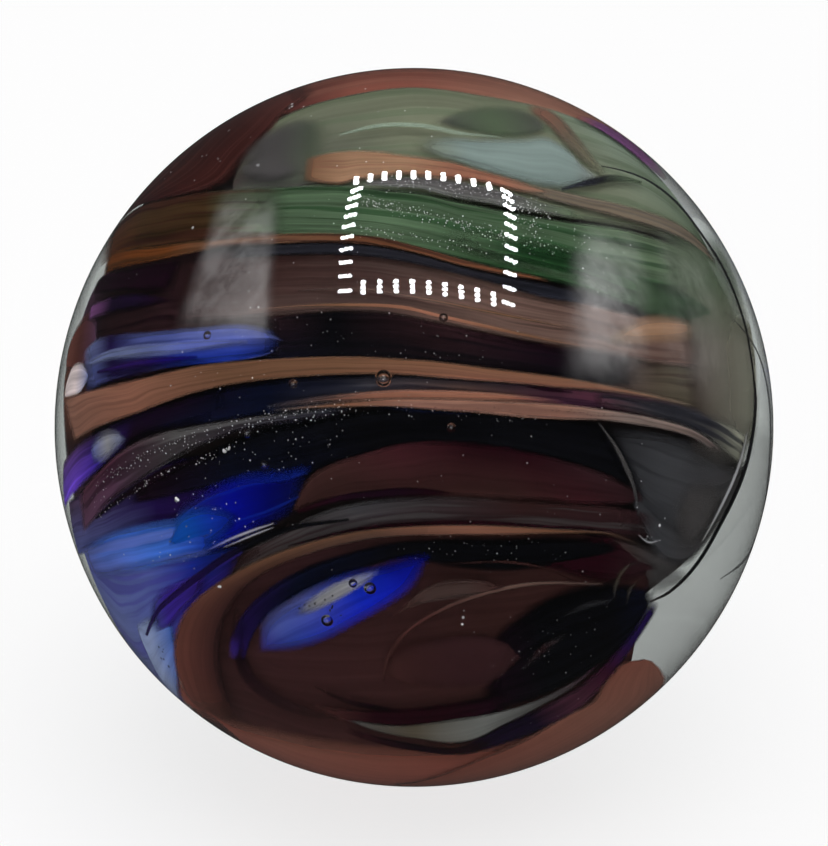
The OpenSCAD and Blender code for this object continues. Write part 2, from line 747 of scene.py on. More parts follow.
@dataclass(frozen=True)
class ClearGlass:
    """Finish of the ball: clear glass that is slightly smoky through its whole thickness.

    Attributes:
        name: name of the material.
        roughness: roughness of the fire-polished surface.
        smoke: colour that the glass keeps.
        smoke_density: how fast it darkens, per metre.
    """

    name: str = "clear_marble_glass"
    roughness: float = 0.01
    smoke: tuple[float, float, float, float] = (0.62, 0.66, 0.64, 1.0)
    smoke_density: float = 130.0

    def material(self) -> bpy.types.Material:
        """Builds the material."""
        material, bench = new_material(self.name)
        out = bench.add("ShaderNodeOutputMaterial")
        shader = bench.add("ShaderNodeBsdfPrincipled", Roughness=self.roughness, IOR=GLASS_IOR)
        shader.inputs["Base Color"].default_value = (1, 1, 1, 1)
        shader.inputs["Transmission Weight"].default_value = 1.0
        passing = bench.add("ShaderNodeBsdfTransparent")
        rays = bench.add("ShaderNodeLightPath")
        mix = bench.mix(rays.outputs["Is Shadow Ray"], shader, passing)
        bench.link(mix.outputs[0], out.inputs["Surface"])
        smoke = bench.add("ShaderNodeVolumeAbsorption", Color=self.smoke, Density=self.smoke_density)
        bench.link(smoke.outputs[0], out.inputs["Volume"])
        return material


@dataclass(frozen=True)
class SpeckGlass:
    """Finish of the seeds, the painted glints and the dust: matt, with a tint for each speck.

    Attributes:
        name: name of the material.
        roughness: roughness of a speck.
    """

    name: str
    roughness: float = 0.4

    def material(self) -> bpy.types.Material:
        """Builds the material."""
        material, bench = new_material(self.name)
        out = bench.add("ShaderNodeOutputMaterial")
        shader = bench.add("ShaderNodeBsdfPrincipled", Roughness=self.roughness, Specular_IOR_Level=0.0)
        shade = bench.add("ShaderNodeAttribute", attribute_name="tint")
        bench.link(shade.outputs["Color"], shader.inputs["Base Color"])
        bench.link(shade.outputs["Alpha"], shader.inputs["Alpha"])
        bench.link(shader.outputs[0], out.inputs["Surface"])
        return material


# Where the bubbles lie: degrees to the right of the middle of the face, and degrees above it
LARGE_BUBBLES = ((-5, 8),)
MEDIUM_BUBBLES = ((-17, -33), (-8, -27))
SMALL_BUBBLES = ((-37, 15), (-20, 7), (-25, -6), (-28, -1), (6, 0), (5, 18), (-11, -26))


@dataclass
class GlassBall:
    """The clear ball, with its seed bubbles.

    Attributes:
        name: name of the piece.
        slot: material slot of the record; not used.
        finish: the glass.
        bubble_cover: glass between a bubble and the surface.
        large_d: diameter of the large bubble.
        medium_d: diameter of the medium bubbles.
        small_d: diameter of the small bubbles.
    """

    name: str = "clear_ball"
    slot: str = "swirl_glass"
    finish: ClearGlass = ClearGlass()
    bubble_cover: float = 0.25
    large_d: float = 0.38
    medium_d: float = 0.28
    small_d: float = 0.2
    ROUNDING = 6
    BUBBLE_ROUNDING = 4

    def build(self) -> bpy.types.Object:
        """Rounds a cube to the ball and sets the bubbles in it."""
        deselect_all()
        bpy.ops.mesh.primitive_cube_add(size=2 * BALL_R * MM)
        ball = bpy.context.object
        rounding = ball.modifiers.new("rounding", "SUBSURF")
        rounding.subdivision_type = "SIMPLE"
        rounding.levels = self.ROUNDING
        rounding.render_levels = self.ROUNDING
        cast = ball.modifiers.new("ball", "CAST")
        cast.factor = 1.0
        cast.use_radius_as_size = False
        cast.size = BALL_R * MM
        for modifier in ("rounding", "ball"):
            bpy.ops.object.modifier_apply(modifier=modifier)
        kinds = ((LARGE_BUBBLES, self.large_d), (MEDIUM_BUBBLES, self.medium_d),
                 (SMALL_BUBBLES, self.small_d))
        bubbles = [self._bubble(*place, diameter) for places, diameter in kinds for place in places]
        ball = join_all([ball] + bubbles, self.name)
        bpy.ops.object.shade_smooth()
        return ball

    def _bubble(self, azimuth: float, rise: float, diameter: float) -> bpy.types.Object:
        """Makes one empty bubble.

        Args:
            azimuth: degrees to the right of the middle of the face.
            rise: degrees above it.
            diameter: diameter in millimetres.

        Returns:
            A ball whose faces point into the bubble.
        """
        turn = math.radians(azimuth)
        lift = math.radians(rise)
        way = (FACE_RIGHT * math.sin(turn) * math.cos(lift) + FACE_UP * math.sin(lift)
               + FACE_OUT * math.cos(turn) * math.cos(lift))
        reach = BALL_R - self.bubble_cover - diameter / 2
        deselect_all()
        bpy.ops.mesh.primitive_ico_sphere_add(subdivisions=self.BUBBLE_ROUNDING, radius=diameter / 2 * MM,
                                              location=way * reach * MM)
        bubble = bpy.context.object
        bpy.ops.object.transform_apply(location=True, rotation=True, scale=True)
        bpy.ops.object.mode_set(mode="EDIT")
        bpy.ops.mesh.select_all(action="SELECT")
        bpy.ops.mesh.flip_normals()
        bpy.ops.object.mode_set(mode="OBJECT")
        return bubble

    def dress(self, ball: bpy.types.Object) -> None:
        """Gives the ball its glass and its place in the frame."""
        ball.data.materials.clear()
        ball.data.materials.append(self.finish.material())
        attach(ball, BODY)
        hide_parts(NODE)


@dataclass
class Swirl:
    """Sheets of one kind of coloured glass, joined to one piece.

    Attributes:
        name: name of the piece.
        slot: material slot of the record; not used.
        finish: look of the glass.
        lane: place among the pieces, which keeps the sheets of two pieces apart in one layer.
        sheets: the sheets.
    """

    name: str
    slot: str
    finish: StreakedGlass
    lane: int
    sheets: tuple[Sheet, ...]

    def build(self) -> bpy.types.Object:
        """Lays the sheets, joins them and gives them their thickness."""
        sheets = [sheet.build(number, self.lane) for number, sheet in enumerate(self.sheets)]
        piece = join_all(sheets, self.name)
        bpy.ops.object.mode_set(mode="EDIT")
        bpy.ops.mesh.select_all(action="SELECT")
        bpy.ops.mesh.remove_doubles(threshold=MERGE_DISTANCE * MM)
        bpy.ops.object.mode_set(mode="OBJECT")
        wall = piece.modifiers.new("wall", "SOLIDIFY")
        wall.thickness = SHEET_THICKNESS * MM
        wall.offset = 0.0
        bpy.ops.object.modifier_apply(modifier="wall")
        bpy.ops.object.shade_smooth_by_angle(angle=SMOOTH_ANGLE)
        return piece

    def dress(self, piece: bpy.types.Object) -> None:
        """Gives the piece its glass and its place in the frame."""
        piece.data.materials.clear()
        piece.data.materials.append(self.finish.material())
        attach(piece, BODY)


@dataclass
class BrownBands(Swirl):
    """Brown, terracotta and maroon glass: the cap, the middle bands and the coil at the bottom."""

    name: str = "brown_bands"
    slot: str = "brown_glass"
    finish: StreakedGlass = StreakedGlass("brown_streaked_glass", density=2.4, amount=0.6)
    lane: int = 0
    sheets: tuple[Sheet, ...] = (
        Sheet("shoulder", Depth.FIELD,
              ((112, 232), (122, 262, FAR), (180, 248, FAR), (250, 232, FAR), (330, 220, FAR)),
              ((114, 230), (140, 206), (170, 200), (205, 194), (228, 184), (246, 163), (270, 137),
               (290, 112), (318, 96)),
              tints("brick maroon maroon brick"), tints("maroon wine maroon maroon brick"),
              soft=0.42, soft_ends=0.6, vein=Hue.BRICK, veined=0.3, streak=0.7),
        Sheet("cap", Depth.FIELD_LOW,
              ((260, 245, FAR), (340, 222, FAR), (420, 215, FAR), (510, 222, FAR), (600, 246, FAR),
               (690, 290, FAR)),
              ((262, 120), (290, 116), (320, 106), (360, 97), (400, 92), (440, 94), (480, 99), (520, 107),
               (548, 112), (575, 122), (604, 132)),
              tints("maroon terracotta clay terracotta"),
              tints("maroon brick terracotta terracotta clay orange orange clay"),
              soft=0.16, soft_ends=0.5, vein=Hue.CLAY, veined=0.4, streak=0.7),
        Sheet("left field", Depth.FIELD_LOW,
              ((84, 318), (96, 288), (110, 270), (140, 258), (180, 252), (230, 250), (310, 250)),
              ((68, 404), (90, 400), (120, 392), (160, 380), (210, 370), (250, 366), (310, 364)),
              tints("mauve aubergine aubergine aubergine umber"), soft_ends=0.4, vein=Hue.PLUM),
        Sheet("middle band", Depth.FIELD,
              ((180, 264), (230, 256), (300, 254), (350, 254), (400, 259), (450, 269), (500, 282),
               (560, 297), (620, 313), (690, 326), (745, 340)),
              ((170, 325), (230, 322), (280, 318), (330, 315), (380, 317), (430, 325), (480, 334),
               (530, 343), (590, 352), (650, 364), (750, 384)),
              tints("aubergine umber brown cocoa cocoa cocoa khaki"),
              tints("aubergine brown brown cocoa cocoa cocoa khaki"),
              soft=0.12, soft_ends=0.8, vein=Hue.UMBER, veined=0.4),
        Sheet("right band", Depth.FIELD_LOW,
              ((540, 320), (600, 330), (660, 318), (700, 310), (748, 322)),
              ((540, 392), (600, 400), (660, 408), (710, 420), (748, 445)),
              tints("umber brown khaki khaki lichen"), soft=0.2, vein=Hue.UMBER, veined=0.5),
        Sheet("brick patch", Depth.BAND,
              ((70, 345), (78, 326), (90, 312), (99, 322)), ((66, 370), (78, 376), (90, 366), (100, 342)),
              tints("terracotta brick mauve"), soft=0.2, soft_ends=0.15, streak=0.4),
        Sheet("left edge", Depth.FIELD_LOW,
              ((74, 345), (66, 372), (64, 400), (65, 430), (68, 465), (75, 500), (86, 545)),
              ((100, 345), (98, 372), (96, 400), (98, 430), (102, 465), (108, 500), (118, 545)),
              tints("brick sienna sienna umber mauve brown mauve"), soft=0.2, streak=0.3),
        Sheet("oval", Depth.BAND,
              ((293, 512), (300, 490), (312, 474), (332, 463), (360, 454), (400, 443), (440, 440),
               (480, 443), (520, 449), (560, 459), (600, 471), (640, 492)),
              ((293, 513), (330, 501), (400, 497), (450, 496), (540, 500), (600, 505), (642, 503)),
              tints("umber umber claret wine wine aubergine aubergine"),
              tints("umber umber umber umber claret aubergine"),
              soft=0.1, soft_ends=0.3),
        Sheet("sliver", Depth.BAND_TOP,
              ((300, 508), (340, 494), (380, 488), (410, 486), (440, 489), (454, 493)),
              ((300, 512), (340, 501), (380, 497), (410, 495), (440, 494), (454, 493)),
              tints("wine plum plum wine"), soft=0.04),
        Sheet("under oval", Depth.BAND_LOW,
              ((225, 560), (280, 532), (320, 511), (360, 500), (400, 496), (450, 494), (520, 498),
               (600, 503), (655, 512)),
              ((225, 582), (285, 558), (320, 547), (360, 536), (400, 530), (450, 528), (520, 529),
               (590, 531), (655, 540)),
              tints("umber smoke umber aubergine"), tints("maroon aubergine aubergine aubergine"),
              soft_ends=1.3, vein=Hue.GREY, veined=0.45),
        Sheet("coil", Depth.FIELD_LOW,
              ((180, 655), (184, 622), (215, 588), (280, 558), (350, 538), (420, 530), (500, 530),
               (580, 532), (630, 545), (650, 572)),
              ((176, 665), (205, 715), (250, 690, FAR), (330, 640, FAR), (420, 620, FAR), (520, 640, FAR),
               (600, 690, FAR), (612, 716), (622, 690), (626, 630)),
              tints("russet umber raisin umber umber aubergine"),
              tints("russet russet russet russet russet brick"),
              vein=Hue.UMBER, veined=0.3, streak=0.6),
        Sheet("coil rim", Depth.FIELD,
              ((176, 660), (214, 704), (280, 726), (340, 736), (420, 740), (500, 735), (575, 720)),
              ((184, 706), (228, 736, FAR), (290, 730, FAR), (350, 715, FAR), (420, 710, FAR),
               (500, 715, FAR), (580, 740, FAR)),
              tints("terracotta clay terracotta terracotta"), tints("ember ember ember ember"),
              soft=1.1, soft_ends=0.3, streak=0.3),
        Sheet("lobe", Depth.BAND,
              ((396, 783), (470, 760), (525, 736), (560, 715), (590, 700), (600, 682), (618, 662),
               (640, 657)),
              ((396, 787), (500, 778), (560, 758), (612, 728), (645, 706), (664, 684), (662, 670),
               (652, 660)),
              tints("terracotta terracotta clay terracotta"),
              tints("terracotta clay clay clay"), soft=0.24, streak=0.4),
        Sheet("wine lens", Depth.BAND,
              ((540, 552), (575, 538), (600, 534), (625, 540), (650, 560)),
              ((540, 566), (580, 578), (605, 582), (630, 580), (650, 572)),
              tints("wine wine aubergine"), soft=0.2),
        Sheet("pale lens", Depth.BAND,
              ((385, 672), (393, 650), (430, 637), (480, 632), (505, 640), (521, 656)),
              ((385, 672), (410, 682), (450, 687), (490, 681), (521, 656)),
              tints("russet raisin raisin"), soft=0.2, body=0.8, streak=0.5),
    )


@dataclass
class TanThreads(Swirl):
    """Tan, salmon and amber lines between the bands."""

    name: str = "tan_threads"
    slot: str = "tan_glass"
    finish: StreakedGlass = StreakedGlass("tan_streaked_glass", density=5.0, amount=0.7)
    lane: int = 1
    sheets: tuple[Sheet, ...] = (
        Sheet("top patch", Depth.BAND_LOW,
              ((306, 160), (340, 153), (380, 153), (400, 156), (430, 160), (450, 163), (480, 172),
               (520, 183), (550, 193)),
              ((304, 184), (340, 188), (355, 184), (380, 181), (400, 178), (430, 182), (480, 186),
               (520, 196), (550, 200)),
              tints("tan sand sand fawn fawn dun"), soft=0.16, soft_ends=0.25, vein=Hue.FAWN),
        Sheet("top tail", Depth.BAND_LOW,
              ((530, 187), (580, 197), (630, 208), (680, 226), (712, 256)),
              ((530, 199), (580, 211), (630, 224), (680, 241), (716, 268)),
              tints("dun dun dun"), soft=0.1, soft_ends=0.4, vein=Hue.GREY),
        Sheet("pink strip", Depth.BAND_LOW,
              ((528, 103), (552, 112), (580, 140), (598, 164), (612, 178)),
              ((524, 112), (540, 122), (566, 150), (588, 172), (604, 182)),
              tints("clay dun haze"), soft=0.3, soft_ends=0.4, body=0.8, streak=0.4),
        Sheet("amber end", Depth.BAND_TOP,
              ((108, 260), (115, 252), (140, 248), (160, 247), (190, 243), (215, 241)),
              ((104, 277), (120, 270), (150, 264), (180, 258), (200, 254), (215, 252)),
              tints("amber amber amber tan"), soft=0.07, soft_ends=0.2, vein=Hue.OLIVE),
        Sheet("amber line", Depth.BAND_TOP,
              ((190, 245), (240, 239), (280, 236), (350, 236), (380, 239), (420, 249), (460, 261),
               (500, 271), (548, 281)),
              ((190, 254), (240, 248), (280, 246), (350, 246), (380, 249), (420, 257), (460, 268),
               (500, 277), (548, 285)),
              tints("tan tan rust rust rust"), soft=0.05, soft_ends=0.5, vein=Hue.UMBER),
        thread("hairline", Depth.THREAD,
               ((250, 313), (300, 308), (350, 307), (400, 309), (440, 318), (480, 327), (520, 336),
                (560, 344), (610, 352)),
               4.5, tints("cocoa tan fawn tan cocoa")),
        thread("second hairline", Depth.THREAD,
               ((300, 293), (360, 291), (420, 300), (480, 312), (540, 324), (600, 336)),
               3.5, tints("brown cocoa tan cocoa")),
        Sheet("first stripe", Depth.THREAD,
              ((66, 398), (100, 388), (150, 377), (200, 366), (250, 361), (300, 358), (350, 357),
               (400, 359), (440, 362), (480, 367), (520, 372), (560, 377), (600, 384), (640, 392),
               (690, 404)),
              ((76, 442), (100, 428), (140, 414), (160, 406), (200, 393), (250, 383), (300, 378),
               (340, 376), (400, 376), (440, 379), (480, 382), (520, 385), (560, 389), (600, 392),
               (640, 398), (690, 408)),
              tints("orange fawn tan tan tan tan dun"),
              tints("orange fawn tan tan fawn fawn dun"),
              soft=0.08, soft_ends=0.25, vein=Hue.UMBER, veined=0.22, streak=0.6),
        Sheet("second stripe", Depth.THREAD,
              ((270, 410), (380, 400), (440, 399), (500, 401), (545, 403), (580, 406), (620, 412),
               (660, 420), (695, 432), (722, 452)),
              ((270, 412), (380, 407), (440, 411), (480, 414), (520, 418), (560, 420), (600, 421),
               (640, 426), (690, 438), (716, 458)),
              tints("grey tan salmon salmon salmon blush blush grey"),
              soft=0.05, soft_ends=0.6, vein=Hue.CLARET, veined=0.3),
        thread("lower tan", Depth.THREAD,
               ((270, 407), (320, 401), (360, 398), (400, 396), (450, 396), (500, 398), (560, 402)), 12.0,
               tints("slate brown fawn fawn fawn rose"), soft=0.1),
        Sheet("coil line", Depth.BAND_TOP,
              ((208, 720), (184, 690), (174, 655), (179, 622), (194, 600), (220, 580), (260, 558),
               (300, 543), (350, 530), (400, 524), (450, 522), (500, 523), (560, 527), (610, 531),
               (650, 546)),
              ((246, 726), (230, 698), (222, 660), (224, 630), (236, 603), (250, 585), (280, 565),
               (320, 550), (360, 540), (400, 535), (450, 534), (500, 534), (560, 533), (605, 534),
               (648, 550)),
              tints("terracotta terracotta sienna tan tan fawn tan brown"),
              tints("maroon aubergine aubergine umber brown fawn tan brown"),
              soft=0.18, soft_ends=1.3, vein=Hue.UMBER, veined=0.2, streak=0.4),
        Sheet("coil wedge", Depth.PATCH,
              ((395, 613), (420, 588), (445, 577), (480, 577), (504, 585)),
              ((395, 614), (420, 603), (450, 598), (480, 593), (504, 587)),
              tints("russet brown brown russet"), soft=0.1, vein=Hue.UMBER),
        thread("coil arc", Depth.PATCH,
               ((384, 678), (390, 652), (411, 626), (450, 603), (500, 587), (545, 581), (600, 582)),
               4.5, tints("russet russet cocoa brown")),
        thread("inner arc", Depth.PATCH,
               ((440, 562), (500, 560), (540, 566), (575, 580)), 3.0, tints("umber russet umber"),
               body=0.6),
        Sheet("right lens", Depth.BAND,
              ((600, 533), (640, 541), (670, 556), (692, 575)),
              ((640, 562), (645, 578), (652, 596), (684, 584)),
              tints("brown grey grey"), soft=0.35, soft_ends=0.3, body=0.45),
        back_band("back amber", 313, 325, tints("rust tan fawn tan rust"), Hue.UMBER),
        back_band("back tan", 532, 543, tints("tan fawn tan dun"), Hue.UMBER),
        Sheet("right glow", Depth.BAND_LOW,
              ((600, 338), (622, 324), (645, 315), (668, 314), (700, 322)),
              ((596, 350), (625, 348), (650, 346), (675, 345), (705, 340)),
              tints("dun sand sand tan"), soft=0.36, soft_ends=0.6, streak=0.35),
    )


@dataclass
class GreenBand(Swirl):
    """The green band, its olive end and the dark line under it."""

    name: str = "green_band"
    slot: str = "green_glass"
    finish: StreakedGlass = StreakedGlass("green_streaked_glass", density=2.2, amount=1.1)
    lane: int = 2
    sheets: tuple[Sheet, ...] = (
        Sheet("green", Depth.FIELD,
              ((200, 195), (250, 191), (300, 188), (350, 188), (385, 192), (420, 195), (450, 202),
               (500, 212), (560, 222), (620, 230), (680, 250), (715, 275)),
              ((195, 244), (260, 241), (300, 240), (350, 242), (400, 249), (440, 258), (480, 268),
               (520, 278), (560, 286), (620, 305), (690, 325), (742, 330)),
              tints("sage green green green green sage sage"),
              tints("sage green green forest forest green sage"),
              soft=0.1, soft_ends=0.5, vein=Hue.FOREST, veined=0.7),
        Sheet("forest", Depth.BAND_LOW,
              ((440, 228), (480, 230), (530, 240), (580, 252), (620, 268), (660, 290)),
              ((440, 250), (480, 262), (530, 276), (580, 288), (620, 300), (660, 312)),
              tints("green forest forest green"), soft=0.35, soft_ends=1.0, vein=Hue.GREEN, veined=0.5),
        Sheet("olive end", Depth.BAND_LOW,
              ((106, 240), (138, 208), (170, 199), (205, 193), (245, 190), (290, 190)),
              ((98, 272), (120, 256), (150, 251), (190, 246), (240, 243), (290, 243)),
              tints("maroon olive olive green"), tints("amber olive olive green"),
              soft=0.12, soft_ends=0.9, vein=Hue.MAROON),
        Sheet("glitter strip", Depth.BAND_TOP,
              ((360, 186), (380, 182), (420, 180), (460, 184), (500, 192), (540, 204), (580, 214)),
              ((360, 189), (385, 190), (420, 192), (450, 200), (490, 207), (520, 213), (580, 224)),
              tints("grey grey grey sage"), soft=0.1, soft_ends=0.4, vein=Hue.ASH),
        Sheet("teal line", Depth.BAND,
              ((225, 252), (280, 246), (350, 246), (380, 249), (420, 257), (460, 268), (500, 277),
               (545, 286), (600, 300)),
              ((225, 262), (280, 258), (350, 258), (390, 262), (430, 270), (470, 280), (500, 288),
               (545, 301), (600, 308)),
              tints("teal teal teal teal slate"), soft=0.07, soft_ends=0.8),
        back_band("back green", 214, 268, tints("olive green sage green sage"), Hue.FOREST),
    )


@dataclass
class BlackBands(Swirl):
    """Black glass: the core behind everything, the black bands and the thin dark lines."""

    name: str = "black_bands"
    slot: str = "black_glass"
    finish: StreakedGlass = StreakedGlass("black_streaked_glass", density=1.8, amount=1.2)
    lane: int = 3
    sheets: tuple[Sheet, ...] = (
        Sheet("upper core", Depth.CORE,
              ((80, 425), (90, 348), (112, 262), (150, 198), (218, 139), (310, 104), (414, 92),
               (520, 106), (600, 142), (660, 195), (705, 260), (735, 330), (745, 400)),
              ((80, 430), (240, 432), (414, 432), (590, 432), (745, 430)), tints("core"), soft=0.0),
        Sheet("lower core", Depth.CORE,
              ((80, 430), (240, 430), (414, 430), (590, 430), (745, 430)),
              ((80, 435), (95, 510), (130, 590), (185, 660), (250, 715), (330, 750), (414, 764),
               (500, 752), (575, 712), (622, 645), (636, 600), (688, 555), (725, 500), (742, 440)),
               tints("core"), soft=0.0),
        Sheet("upper band", Depth.BAND_LOW,
              ((235, 330), (275, 318), (320, 313), (360, 312), (400, 316), (440, 324), (480, 333),
               (530, 343), (580, 351), (640, 358)),
              ((235, 366), (300, 364), (350, 364), (400, 365), (440, 368), (480, 372), (530, 378),
               (580, 384), (640, 388)),
              tints("aubergine black aubergine plum plum"),
              tints("navy black black black black"), soft=0.12, soft_ends=1.2, vein=Hue.BLACK),
        Sheet("middle band", Depth.BAND_LOW,
              ((130, 492), (165, 474), (200, 455), (260, 430), (300, 421), (350, 413), (400, 408),
               (450, 412), (500, 415), (560, 419), (596, 423), (618, 434)),
              ((130, 506), (165, 498), (200, 490), (260, 482), (310, 474), (340, 462), (400, 448),
               (450, 444), (500, 448), (560, 460), (605, 476), (648, 503)),
              tints("plum black black black black"), tints("plum navy black black black"),
              soft=0.1, soft_ends=0.8),
        thread("left line", Depth.PATCH,
               ((148, 634), (161, 608), (181, 590), (202, 574), (232, 553), (262, 538), (300, 525),
                (350, 518)),
               8.0, tints("indigo indigo black black"), soft=0.05),
        thread("wine line", Depth.PATCH,
               ((290, 544), (340, 531), (380, 525), (420, 522), (460, 521), (500, 522), (545, 525),
                (590, 527)),
               5.0, tints("wine wine wine"), soft=0.04),
        Sheet("under coil line", Depth.BAND,
              ((236, 622), (258, 596), (300, 568), (350, 550), (400, 539), (450, 536), (500, 536),
               (560, 535), (620, 540)),
              ((244, 664), (262, 622), (300, 594), (350, 572), (400, 558), (450, 566), (500, 570),
               (560, 564), (620, 550)),
              tints("indigo navy black black black"), soft=0.14, soft_ends=0.4),
        Sheet("dark heart", Depth.BAND_LOW,
              ((480, 650), (505, 620), (550, 590), (600, 578), (655, 585)),
              ((480, 705), (520, 704), (570, 684), (615, 655), (655, 605)),
              tints("plum black black navy"), soft=0.4, soft_ends=0.5),
        Sheet("crescent shadow", Depth.BAND_TOP,
              ((310, 700), (350, 706), (400, 706), (450, 700), (510, 688)),
              ((310, 704), (350, 720), (400, 724), (450, 720), (510, 708)),
              tints("russet wine wine plum"), soft=0.12, soft_ends=0.5),
        Sheet("crescent under", Depth.PATCH,
              ((345, 724), (380, 734), (420, 742), (455, 745), (490, 738)),
              ((345, 730), (380, 742), (420, 750), (455, 753), (490, 744)),
              tints("claret plum wine"), soft=0.08, soft_ends=0.4),
        thread("seam", Depth.THREAD,
               ((600, 168), (645, 181), (675, 203), (701, 236), (721, 267), (734, 296), (745, 331),
                (750, 361), (754, 397)),
               2.6, tints("teal teal black black")),
        thread("lower seam", Depth.THREAD,
               ((752, 378), (754, 400), (750, 440), (742, 472), (719, 522), (693, 565), (668, 590),
                (648, 600)),
               4.5, tints("core black black black core")),
        thread("rim seam", Depth.THREAD,
               ((724, 313), (757, 354), (768, 397), (768, 471), (757, 535), (719, 578)), 2.2,
               tints("grey smoke grey"), body=0.6),
        thread("coil shade", Depth.BAND, ((238, 606), (238, 640), (252, 678), (290, 704), (340, 716)),
               14.0, tints("umber plum aubergine umber"), soft=0.16, body=0.6),
        thread("coil streak", Depth.BAND, ((316, 684), (345, 698), (380, 706), (425, 710)), 6.0,
               tints("umber plum plum"), soft=0.08, body=0.7),
        thread("navy line", Depth.PATCH, ((360, 405), (395, 408), (430, 412), (470, 414)), 5.0,
               tints("navy"), soft=0.05),
        thread("purple dash", Depth.PATCH, ((525, 387), (545, 390), (570, 393)), 4.5, tints("plum"),
               soft=0.04),
        thread("dotted line", Depth.PATCH, ((98, 518), (120, 500), (150, 481), (180, 466), (220, 455)),
               9.0, tints("plum plum black"), soft=0.08),
        back_band("back brown", 272, 312, tints("umber brown cocoa brown umber"), Hue.BLACK),
        back_band("back maroon", 326, 346, tints("plum maroon claret maroon plum"), Hue.BLACK),
        back_band("back grey", 512, 530, tints("smoke grey smoke grey"), Hue.BLACK),
    )


